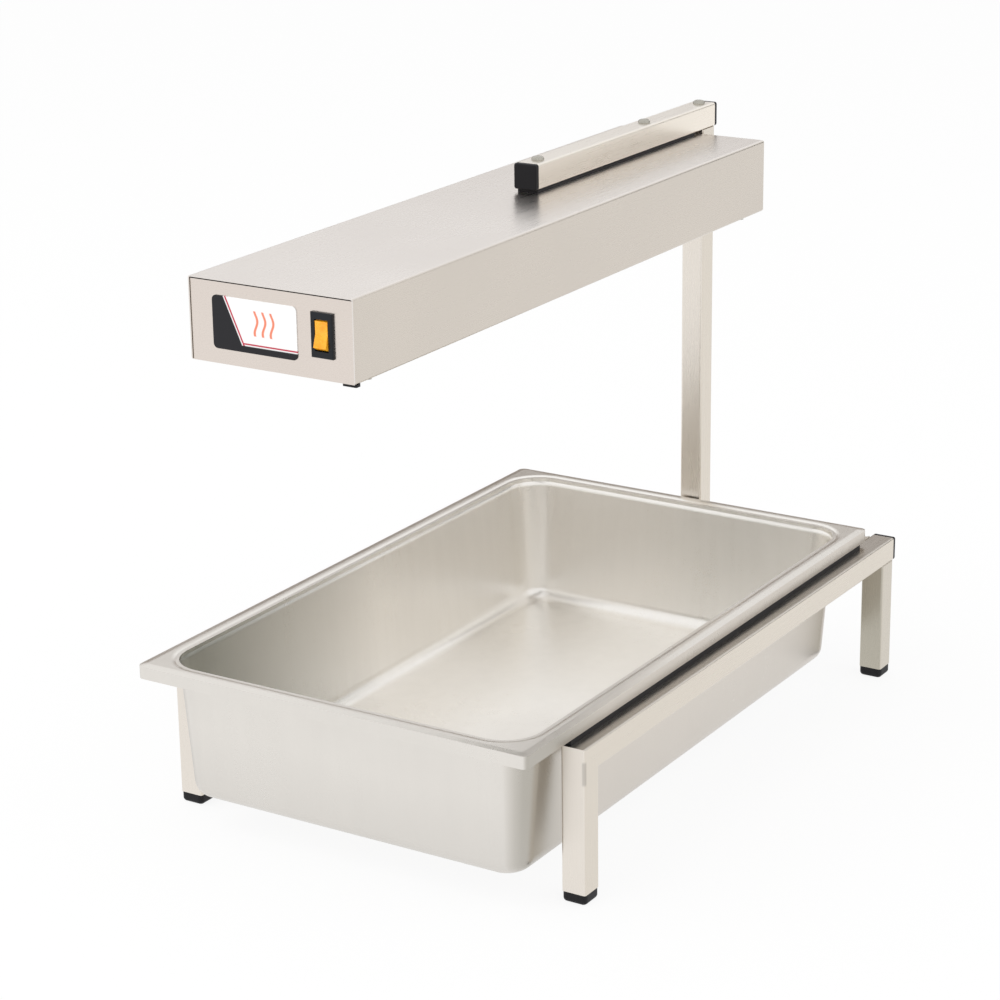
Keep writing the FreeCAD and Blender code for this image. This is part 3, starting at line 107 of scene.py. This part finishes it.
class Nodes:
    """Builds a material's or the world's node tree."""

    def __init__(self, tree):
        self.tree = tree
        tree.nodes.clear()

    def add(self, kind, inputs=None, **settings):
        node = self.tree.nodes.new(kind)
        for name, value in settings.items():
            setattr(node, name, value)
        for name, value in (inputs or {}).items():
            self.put(node, name, value)
        return node

    def put(self, node, name, value):
        """Links a socket to an input, or sets the input's value."""
        target = node.inputs[name]
        if isinstance(value, bpy.types.NodeSocket):
            self.tree.links.new(value, target)
        else:
            target.default_value = value

    def math(self, operation, *values, clamp=False):
        node = self.add("ShaderNodeMath", operation=operation, use_clamp=clamp)
        for index, value in enumerate(values):
            self.put(node, index, value)
        return node.outputs[0]

    def parts(self, name):
        """The x, y and z of a coordinate: Object is the place in metres, Normal the way that a face looks."""
        coordinates = self.add("ShaderNodeTexCoord")
        return self.add("ShaderNodeSeparateXYZ", {"Vector": coordinates.outputs[name]}).outputs

    def noise(self, scale, detail, roughness, stretch=(1, 1, 1)):
        """A noise over the place in metres, which may be stretched along an axis."""
        coordinates = self.add("ShaderNodeTexCoord")
        mapping = self.add("ShaderNodeMapping", {"Vector": coordinates.outputs["Object"], "Scale": stretch})
        node = self.add("ShaderNodeTexNoise", {
            "Vector": mapping.outputs[0], "Scale": scale, "Detail": detail, "Roughness": roughness,
        })
        return node.outputs[0]

    def ramp(self, value, low, high, start=0.3, end=0.7):
        """A number that runs from low to high while the value runs from start to end."""
        node = self.add("ShaderNodeMapRange", {
            "Value": value, "From Min": start, "From Max": end, "To Min": low, "To Max": high,
        })
        return node.outputs[0]

    def blend(self, share, first, second):
        node = self.add("ShaderNodeMix", data_type="RGBA")
        self.put(node, 0, share)
        self.put(node, 6, first)
        self.put(node, 7, second)
        return node.outputs[2]

    def bump(self, height, strength, distance):
        return self.add("ShaderNodeBump", {
            "Height": height, "Strength": strength, "Distance": distance,
        }).outputs[0]

    def seen(self):
        """One for the rays that show the surroundings, zero for those that light the object."""
        rays = self.add("ShaderNodeLightPath").outputs
        shown = self.math("MAXIMUM", rays["Is Camera Ray"], rays["Is Glossy Ray"])
        return self.math("MAXIMUM", shown, rays["Is Transmission Ray"])

    def mix(self, share, first, second):
        return self.add("ShaderNodeMixShader", {0: share, 1: first.outputs[0], 2: second.outputs[0]})

    def output(self, shader, kind="ShaderNodeOutputMaterial"):
        self.add(kind, {0: shader.outputs[0]})

    def surface(self, inputs):
        """The Principled shader and the output."""
        self.output(self.add("ShaderNodeBsdfPrincipled", inputs))


def new_material(name):
    """A new material in the table, as its empty node tree."""
    made = bpy.data.materials.new(name)
    made.use_nodes = True
    MATERIALS[name] = made
    return Nodes(made.node_tree)


# Steel: coordinates are in metres, so noise scales are per metre

STEEL = srgb(234, 227, 218)
STEEL_SHADED_SIDE = srgb(223, 215, 203)
INNER = srgb(186, 186, 184)
# Tone of the painted shade on the pan's front corners and inner left wall.
PAINTED_SHADE_TONE = srgb(122, 124, 114)
FINE_LINES = (2400, 40)
BROAD_LINES = (420, 6)
FINE_SHARE = 0.6
SMUDGE_SHADE = 0.6
SMUDGE_ROUGHNESS = (-0.03, 0.04)
BUMP_DEPTH = 0.4 * MM

# Measures of the painted shade on the front right leg's outer corner.
MARK_SIDE = (2.6 * MM, 1.6 * MM)
MARK_FOOT = (27.5 * MM, 25.5 * MM)
MARK_HEAD = (10.5 * MM, 8.5 * MM)
MARK_STRENGTH = 0.5
MARK_SHADE = 0.45


def painted_corner_shade(nodes, tone):
    """Painted shade: a narrow darker strip on the outer corner of the front right leg, just under the rail.
    """
    low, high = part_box("front_right_leg")
    place = nodes.parts("Object")
    reach = high.x - low.y
    out = nodes.math("SUBTRACT", place[0], place[1])
    corner = nodes.ramp(out, 0, 1, reach - MARK_SIDE[0], reach - MARK_SIDE[1])
    foot = nodes.ramp(place[2], 0, 1, high.z - MARK_FOOT[0], high.z - MARK_FOOT[1])
    head = nodes.ramp(place[2], 1, 0, high.z - MARK_HEAD[0], high.z - MARK_HEAD[1])
    corner_shade = nodes.math("MULTIPLY", nodes.math("MULTIPLY", foot, head), corner)
    share = nodes.math("MULTIPLY", corner_shade, MARK_STRENGTH, clamp=True)
    return nodes.blend(share, tone, shade(STEEL, MARK_SHADE))


def stretched(grain, lines):
    """The texture scales of lines that run along one axis."""
    across, along = lines
    return tuple(along if axis == grain else across for axis in "xyz")


def brushed(name, colour, side, grain, rough=(0.24, 0.32), streak=0.025, smudge=0.05, bump=0.02,
            top=0.0, corner_shade=False):
    """Brushed metal whose fine lines run along one axis, with a second colour painted on faces that look
    sideways as painted shade, and optional painted shade on top faces and on a leg's outer corner.
    """
    nodes = new_material(name)
    facing = nodes.parts("Normal")
    # Painted shade: faces that look along x take the side colour.
    sideways = nodes.ramp(nodes.math("ABSOLUTE", facing[0]), 0, 1, 0.5, 0.9)
    fine = nodes.noise(1.0, 2.0, 0.6, stretched(grain, FINE_LINES))
    broad = nodes.noise(1.0, 3.0, 0.6, stretched(grain, BROAD_LINES))
    cloud = nodes.noise(7.0, 4.0, 0.5)
    lines = nodes.math("ADD", nodes.math("MULTIPLY", fine, FINE_SHARE),
                       nodes.math("MULTIPLY", broad, 1 - FINE_SHARE))
    dull = nodes.blend(sideways, shade(colour, 1 - streak), shade(side, 1 - streak))
    clear = nodes.blend(sideways, shade(colour, 1 + streak), shade(side, 1 + streak))
    tone = nodes.blend(nodes.ramp(lines, 0, 1), dull, clear)
    tone = nodes.blend(nodes.ramp(cloud, 0, smudge), tone, shade(colour, SMUDGE_SHADE))
    # Painted shadow: faces that look up are darkened towards 0.4 of the colour, up to the share top; the
    # rails use it for the shade under the pan's lip.
    if top:
        tone = nodes.blend(nodes.ramp(facing[2], 0, top, 0.5, 0.9), tone, shade(colour, 0.4))
    # Painted shade on the front right leg's outer corner.
    if corner_shade:
        tone = painted_corner_shade(nodes, tone)
    nodes.surface({
        "Base Color": tone,
        "Metallic": 1.0,
        "Roughness": nodes.math("ADD", nodes.ramp(lines, *rough), nodes.ramp(cloud, *SMUDGE_ROUGHNESS)),
        "Normal": nodes.bump(lines, bump, BUMP_DEPTH),
    })


# The pan's steel

PAN_OUTSIDE = srgb(231, 227, 221)
PAN_INSIDE_LIT = srgb(249, 246, 241)
PAN_SHADED_SIDE = srgb(219, 212, 203)
PAN_ROUGH = (0.26, 0.36)
PAN_SMUDGE = 0.06
PAN_DRAWN = 0.05
PAN_BUMP = 0.04
INWARD_START = -0.02
INWARD_END = -0.08
FLOOR_BELOW_RIM = (0.03, 0.015)
CORNER_REACH = (0.04, 0.11)
CORNER_SHADE = 0.43
FOOT_RISE = 0.06
FOOT_SHADE = 0.3
LEFT_WALL = (-0.12, -0.1)
LEFT_FRONT = (-0.2, 0.02)
LEFT_SHADE = 0.85


def pan_tone(nodes):
    """Painted light and shade: brighter inside, and painted shade on the long sides, the front corners,
    towards the foot and at the front of the inner left wall.
    """
    low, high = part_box("food_pan")
    place = nodes.parts("Object")
    facing = nodes.parts("Normal")
    depth = nodes.math("SUBTRACT", place[1], (low.y + high.y) / 2)
    outward = nodes.math("ADD", nodes.math("MULTIPLY", facing[0], place[0]),
                         nodes.math("MULTIPLY", facing[1], depth))
    wall = nodes.ramp(outward, 1, 0, INWARD_END, INWARD_START)
    below_rim = nodes.ramp(place[2], 1, 0, high.z - FLOOR_BELOW_RIM[0], high.z - FLOOR_BELOW_RIM[1])
    floor = nodes.math("MULTIPLY", nodes.ramp(facing[2], 0, 1, 0.5, 0.8), below_rim)
    sideways = nodes.math("ABSOLUTE", facing[0])
    # Painted dark reflection on the sideways faces near the front corners.
    near_front = nodes.ramp(place[1], CORNER_SHADE, 0, low.y + CORNER_REACH[0], low.y + CORNER_REACH[1])
    corner = nodes.math("MULTIPLY", nodes.ramp(sideways, 0, 1, 0.45, 0.85), near_front)
    # Painted shade, darker towards the pan's foot.
    foot = nodes.ramp(place[2], FOOT_SHADE, 0, low.z, low.z + FOOT_RISE)
    # Painted shade on the front of the inner left wall.
    left = nodes.math("MULTIPLY", nodes.ramp(place[0], 1, 0, *LEFT_WALL),
                      nodes.ramp(facing[0], 0, 1, 0.3, 0.8))
    left = nodes.math("MULTIPLY", left, nodes.ramp(place[1], LEFT_SHADE, 0, *LEFT_FRONT))
    # Painted shade on the long side walls.
    tone = nodes.blend(nodes.ramp(sideways, 0, 1, 0.4, 0.9), PAN_OUTSIDE, PAN_SHADED_SIDE)
    tone = nodes.blend(corner, tone, PAINTED_SHADE_TONE)
    tone = nodes.blend(foot, tone, shade(PAN_OUTSIDE, 0.7))
    # Painted light: the inner walls and floor are brighter than the outside.
    tone = nodes.blend(nodes.math("MAXIMUM", wall, floor), tone, PAN_INSIDE_LIT)
    return nodes.blend(left, tone, PAINTED_SHADE_TONE)


def pan_steel():
    """Deep-drawn sheet: a soft satin with faint upright draw lines."""
    nodes = new_material("pan_steel")
    drawn = nodes.noise(1.0, 3.0, 0.6, (90, 90, 8))
    fine = nodes.noise(1500.0, 2.0, 0.6)
    cloud = nodes.noise(9.0, 4.0, 0.5)
    smudge = shade(PAN_OUTSIDE, SMUDGE_SHADE)
    tone = nodes.blend(nodes.ramp(drawn, PAN_DRAWN, 0), pan_tone(nodes), smudge)
    tone = nodes.blend(nodes.ramp(cloud, 0, PAN_SMUDGE), tone, smudge)
    mixed = nodes.math("ADD", nodes.math("MULTIPLY", drawn, 0.3), nodes.math("MULTIPLY", fine, 0.7))
    nodes.surface({
        "Base Color": tone,
        "Metallic": 1.0,
        "Roughness": nodes.math("ADD", nodes.ramp(mixed, *PAN_ROUGH), nodes.ramp(cloud, *SMUDGE_ROUGHNESS)),
        "Normal": nodes.bump(mixed, PAN_BUMP, BUMP_DEPTH),
    })


# Other metals, plastics and glass

FINE_BUMP_DEPTH = 0.3 * MM


def metal(name, colour, rough, scale, bump=0.05, depth=0.12):
    """Unbrushed metal such as plating, wire or oxidised sheath."""
    nodes = new_material(name)
    cloud = nodes.noise(scale, 4.0, 0.6)
    fine = nodes.noise(scale * 12, 2.0, 0.5)
    tone = nodes.blend(nodes.ramp(cloud, 0, 1), shade(colour, 1 - depth), shade(colour, 1 + depth))
    nodes.surface({
        "Base Color": tone,
        "Metallic": 1.0,
        "Roughness": nodes.ramp(cloud, *rough),
        "Normal": nodes.bump(fine, bump, FINE_BUMP_DEPTH),
    })


def plastic(name, colour, rough, grain=900.0, bump=0.08, specular=0.5):
    """Moulded plastic, rubber or ceramic with a fine surface grain."""
    nodes = new_material(name)
    fine = nodes.noise(grain, 2.0, 0.6)
    cloud = nodes.noise(60.0, 3.0, 0.5)
    nodes.surface({
        "Base Color": nodes.blend(nodes.ramp(cloud, 0, 1), shade(colour, 0.85), shade(colour, 1.15)),
        "Roughness": nodes.ramp(cloud, rough - 0.05, rough + 0.06),
        "Specular IOR Level": specular,
        "Normal": nodes.bump(fine, bump, FINE_BUMP_DEPTH),
    })


def rocker_amber():
    """Translucent amber plastic, a little brighter from the lamp behind it."""
    nodes = new_material("rocker_amber")
    cloud = nodes.noise(220.0, 3.0, 0.5)
    tone = nodes.blend(nodes.ramp(cloud, 0, 1), srgb(245, 158, 24), srgb(253, 182, 48))
    nodes.surface({
        "Base Color": tone,
        "Roughness": nodes.ramp(cloud, 0.22, 0.32),
        "Subsurface Weight": 0.15,
        "Subsurface Radius": (2 * MM, 1 * MM, 0.5 * MM),
        "Emission Color": tone,
        "Emission Strength": 0.12,
    })


def lamp_glass():
    nodes = new_material("lamp_glass")
    cloud = nodes.noise(300.0, 2.0, 0.5)
    nodes.surface({
        "Base Color": nodes.blend(nodes.ramp(cloud, 0, 1), srgb(250, 190, 120), srgb(255, 205, 140)),
        "Roughness": nodes.ramp(cloud, 0.03, 0.08),
        "Transmission Weight": 0.9,
        "IOR": 1.45,
    })


# The nameplate's generic design: a slanted dark field on the left with a crimson edge, and three warm waves.
# Its measures are shares of the plate's width, from the plate's middle.

PLATE_SOFT = 0.004
PLATE_FAR = 2
PLATE_SLANT = 0.45
DARK_LEFT = -0.245
DARK_FOOT = -0.2
EDGE_LEFT = (-0.232, -0.212)
EDGE_FOOT = (-0.188, -0.172)
WAVES = 3
WAVE_START = 0.02
WAVE_PITCH = 0.095
WAVE_HALF = 0.014
WAVE_SWAY = 0.018
WAVE_TURNS = 26
WAVE_RISE = (-0.09, 0.16)


def nameplate_face():
    nodes = new_material("nameplate_face")
    low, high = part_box("nameplate")
    middle = (low + high) / 2
    width = high.x - low.x
    place = nodes.parts("Object")
    across = nodes.math("DIVIDE", nodes.math("SUBTRACT", place[0], middle.x), width)
    rise = nodes.math("DIVIDE", nodes.math("SUBTRACT", place[2], middle.z), width)

    def inside(value, start, end):
        """One where the value lies between two limits, with a narrow soft edge."""
        first = nodes.ramp(value, 0, 1, start - PLATE_SOFT, start + PLATE_SOFT)
        last = nodes.ramp(value, 1, 0, end - PLATE_SOFT, end + PLATE_SOFT)
        return nodes.math("MULTIPLY", first, last)

    def union(first, second):
        return nodes.math("MAXIMUM", first, second)

    slant = nodes.math("ADD", across, nodes.math("MULTIPLY", rise, PLATE_SLANT))
    dark = union(inside(slant, -PLATE_FAR, DARK_LEFT), inside(rise, -PLATE_FAR, DARK_FOOT))
    foot = nodes.math("MULTIPLY", inside(rise, *EDGE_FOOT), inside(slant, EDGE_LEFT[0], PLATE_FAR))
    crimson = union(inside(slant, *EDGE_LEFT), foot)
    sway = nodes.math("MULTIPLY", nodes.math("SINE", nodes.math("MULTIPLY", rise, WAVE_TURNS)), WAVE_SWAY)
    swayed = nodes.math("SUBTRACT", across, sway)
    strokes = None
    for order in range(WAVES):
        column = nodes.math("SUBTRACT", swayed, WAVE_START + order * WAVE_PITCH)
        stroke = nodes.math("MULTIPLY", inside(column, -WAVE_HALF, WAVE_HALF), inside(rise, *WAVE_RISE))
        strokes = stroke if strokes is None else union(strokes, stroke)
    grain = nodes.noise(1800.0, 2.0, 0.5)
    face = nodes.blend(nodes.ramp(grain, 0, 1), srgb(246, 245, 244), srgb(255, 255, 255))
    face = nodes.blend(strokes, face, srgb(243, 140, 110))
    face = nodes.blend(crimson, face, srgb(190, 22, 60))
    face = nodes.blend(dark, face, srgb(26, 25, 30))
    nodes.surface({
        "Base Color": face,
        "Roughness": nodes.ramp(grain, 0.3, 0.38),
        "Specular IOR Level": 0.3,
        "Normal": nodes.bump(grain, 0.02, 0.2 * MM),
    })


def make_materials():
    # Each brushed metal's second colour is painted shade on faces that look along x where it differs from the
    # first; for the arm it is painted light.
    brushed("tube_along_x", STEEL, STEEL_SHADED_SIDE, "x")
    brushed("tube_along_z", STEEL, STEEL_SHADED_SIDE, "z")
    # The rails' tops carry a painted shadow from the pan's lip.
    brushed("rail_tube", STEEL, STEEL_SHADED_SIDE, "y", top=0.5)
    brushed("arm_tube", srgb(240, 234, 226), srgb(245, 237, 225), "y")
    brushed("corner_shaded_leg", STEEL, STEEL_SHADED_SIDE, "z", corner_shade=True)
    # Painted shade: the rear legs are darker than the other tubes, most of all on their front and back faces,
    # standing in for a dark reflection.
    brushed("shaded_rear_leg", srgb(186, 181, 168), srgb(210, 203, 191), "z")
    brushed("housing_steel", srgb(233, 227, 222), srgb(213, 205, 195), "y", streak=0.015, smudge=0.09,
            bump=0.01)
    brushed("panel_steel", srgb(226, 216, 208), srgb(217, 207, 198), "x", streak=0.015, bump=0.01)
    brushed("inner_steel", INNER, INNER, "x", rough=(0.35, 0.5))
    pan_steel()
    metal("reflector_aluminium", srgb(236, 236, 234), (0.08, 0.16), 40.0, 0.03, 0.03)
    metal("element_sheath", srgb(96, 84, 74), (0.45, 0.65), 160.0, 0.2, 0.3)
    metal("fastener_steel", srgb(178, 175, 166), (0.2, 0.32), 300.0)
    metal("weld_bead", srgb(198, 190, 179), (0.25, 0.4), 300.0)
    metal("guard_wire", srgb(214, 213, 211), (0.12, 0.22), 200.0)
    metal("plated_brass", srgb(206, 184, 132), (0.22, 0.35), 300.0)
    plastic("black_plug", srgb(24, 23, 26), 0.5, specular=0.25)
    plastic("switch_black", srgb(18, 22, 28), 0.3, 1600.0, 0.03, specular=0.3)
    plastic("inlet_rubber", srgb(32, 31, 31), 0.7)
    plastic("ceramic", srgb(232, 226, 212), 0.6, 700.0, 0.12)
    plastic("lead_black", srgb(30, 29, 30), 0.4)
    plastic("lead_white", srgb(236, 236, 232), 0.4)
    plastic("lead_green", srgb(44, 138, 70), 0.4)
    nameplate_face()
    rocker_amber()
    lamp_glass()


TUBE_FINISH = {
    "left_rail_tube": "rail_tube",
    "right_rail_tube": "rail_tube",
    "arm_tube": "arm_tube",
    "rear_cross_tube": "tube_along_x",
    "front_right_leg": "corner_shaded_leg",
    "rear_left_leg": "shaded_rear_leg",
    "rear_right_leg": "shaded_rear_leg",
}


def dress_nodes():
    """Gives every CAD node the material of its slot, and each tube the one of its own direction and place."""
    for part in frame["record"]["subparts"]:
        finish = part["material_slot"]
        if finish == "tube_steel":
            finish = TUBE_FINISH.get(part["node"], "tube_along_z")
        for holder in NODES[part["node"]].material_slots:
            holder.link = "DATA"
            holder.material = MATERIALS[finish]


# Weld beads

BEAD = 0.75 * MM
BEAD_RIPPLE = 0.14
BEAD_PITCH = 1.3 * MM
BEAD_STEPS = 4
BEAD_SIDES = 10
BEAD_INSET = 1.15 * BEAD
BEAD_START = Vector((0.37, 0.61, 0.7))
TUBE_CORNER = 1.6 * MM
TUBE_CHAMFER = 0.3 * TUBE_CORNER


def walk(points, step):
    """Evenly spaced places and directions along the straight runs of a closed outline."""
    spots = []
    for start, end in zip(points, points[1:] + points[:1]):
        run = end - start
        count = max(2, round(run.length / step))
        for index in range(count):
            spots.append((start + run * (index / count), run.normalized()))
    return spots


def bead_mesh(name, points):
    """A weld bead along a closed outline, scalloped along its length."""
    mesh = bmesh.new()
    rings = []
    for index, (place, along) in enumerate(walk(points, BEAD_PITCH / BEAD_STEPS)):
        side = along.cross(BEAD_START).normalized()
        up = along.cross(side).normalized()
        swell = BEAD * (1 + BEAD_RIPPLE * math.cos(2 * math.pi * index / BEAD_STEPS))
        ring = []
        for step in range(BEAD_SIDES):
            turn = 2 * math.pi * step / BEAD_SIDES
            ring.append(mesh.verts.new(place + side * math.cos(turn) * swell + up * math.sin(turn) * swell))
        rings.append(ring)
    for first, second in zip(rings, rings[1:] + rings[:1]):
        for step in range(BEAD_SIDES):
            after = (step + 1) % BEAD_SIDES
            mesh.faces.new((first[step], first[after], second[after], second[step]))
    bmesh.ops.recalc_face_normals(mesh, faces=mesh.faces)
    made = bpy.data.meshes.new(name)
    mesh.to_mesh(made)
    mesh.free()
    return made


def add_bead(name, points):
    mesh = bead_mesh(name, points)
    for polygon in mesh.polygons:
        polygon.use_smooth = True
    mesh.materials.append(MATERIALS["weld_bead"])
    bead = bpy.data.objects.new(name, mesh)
    SCENE.collection.objects.link(bead)
    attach(bead, "warmer")


def ring_path(low, high):
    """A closed outline between two corners of a plane, with each corner cut in two short turns."""
    (left, bottom), (right, top) = low, high
    cut = TUBE_CORNER
    half = TUBE_CHAMFER
    return [
        (left + cut, bottom), (right - cut, bottom), (right - half, bottom + half),
        (right, bottom + cut), (right, top - cut), (right - half, top - half),
        (right - cut, top), (left + cut, top), (left + half, top - half),
        (left, top - cut), (left, bottom + cut), (left + half, bottom + half),
    ]


def make_beads():
    """Weld beads where the stand's tubes meet, kept inside the outer faces."""
    outlines = []
    for name in ("rear_left_leg", "rear_right_leg"):
        low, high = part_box(name)
        left = low.x + (BEAD_INSET if low.x < 0 else 0)
        right = high.x - (BEAD_INSET if high.x > 0 else 0)
        outline = ring_path((left, low.y), (right, high.y - BEAD_INSET))
        outlines.append([Vector((across, depth, high.z)) for across, depth in outline])
    low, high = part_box("rear_cross_tube")
    for reach in (low.x, high.x):
        outline = ring_path((low.y, low.z), (high.y, high.z))
        outlines.append([Vector((reach, depth, rise)) for depth, rise in outline])
    low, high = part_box("post_tube")
    outline = ring_path((low.x, low.y + BEAD), (high.x, high.y - BEAD))
    outlines.append([Vector((across, depth, low.z)) for across, depth in outline])
    for order, outline in enumerate(outlines, start=1):
        add_bead(f"weld_bead_{order}", outline)


# Floor, cards and light

FLOOR_HALF = 6
FLOOR_HEIGHT = -0.2 * MM
FLOOR_TONE = (0.97, 0.97, 0.97, 1)
FLOOR_GLOW = 0.9
CARDS = (
    ("card_right", (0.95, 2.0), 56, 0.9, (0.45, 0.85), srgb(60, 62, 58)),
    ("card_left", (-0.95, 1.35), 125, 2.4, (0.0, 0.72), srgb(140, 128, 118)),
)
LAMPS = (
    ("key", (-1.5, -1.6, 2.6), 3.0, 42),
    ("fill", (2.4, 0.8, 1.8), 2.4, 12),
)
LAMP_AIM = Vector((0, 0, 0.2))
SOFT_STRENGTH = 0.8


def add_stage(name, corners):
    """A four-cornered sheet that isn't part of the object, and its empty material."""
    nodes = new_material(name)
    mesh = bpy.data.meshes.new(name)
    mesh.from_pydata(corners, [], [(0, 1, 2, 3)])
    mesh.materials.append(MATERIALS[name])
    sheet = bpy.data.objects.new(name, mesh)
    SCENE.collection.objects.link(sheet)
    return sheet, nodes


def make_floor():
    """A pale floor that keeps the object's shadow."""
    half = FLOOR_HALF
    corners = [(-half, -half), (half, -half), (half, half), (-half, half)]
    nodes = add_stage("floor", [(across, depth, FLOOR_HEIGHT) for across, depth in corners])[1]
    paper = nodes.add("ShaderNodeBsdfDiffuse", {"Color": FLOOR_TONE})
    glow = nodes.add("ShaderNodeEmission", {"Color": WHITE, "Strength": 1.0})
    nodes.output(nodes.mix(nodes.math("MULTIPLY", nodes.seen(), FLOOR_GLOW), paper, glow))


def make_cards():
    """Upright cards that only the metal's reflections show."""
    for name, (across, depth), degrees, width, (low, high), tone in CARDS:
        facing = math.radians(degrees)
        reach = (-math.sin(facing) * width / 2, math.cos(facing) * width / 2)
        first = (across - reach[0], depth - reach[1])
        second = (across + reach[0], depth + reach[1])
        card, nodes = add_stage(name, [(*first, low), (*second, low), (*second, high), (*first, high)])
        nodes.output(nodes.add("ShaderNodeEmission", {"Color": tone, "Strength": 1.0}))
        card.visible_camera = False
        card.visible_diffuse = False
        card.visible_shadow = False
        card.visible_transmission = False


def make_world():
    world = bpy.data.worlds.new("studio")
    world.use_nodes = True
    SCENE.world = world
    nodes = Nodes(world.node_tree)
    soft = nodes.add("ShaderNodeBackground", {"Color": WHITE, "Strength": SOFT_STRENGTH})
    backdrop = nodes.add("ShaderNodeBackground", {"Color": WHITE, "Strength": 1.0})
    nodes.output(nodes.mix(nodes.seen(), soft, backdrop), "ShaderNodeOutputWorld")


def make_lamps():
    for name, place, size, power in LAMPS:
        data = bpy.data.lights.new(name, "AREA")
        data.shape = "SQUARE"
        data.size = size
        data.energy = power
        lamp = bpy.data.objects.new(name, data)
        lamp.visible_glossy = False
        lamp.location = place
        lamp.rotation_euler = (LAMP_AIM - Vector(place)).to_track_quat("-Z", "Y").to_euler()
        SCENE.collection.objects.link(lamp)


make_camera()
make_materials()
make_floor()
make_cards()
make_world()
make_lamps()
dress_nodes()
make_beads()
SCENE.view_settings.view_transform = "Standard"
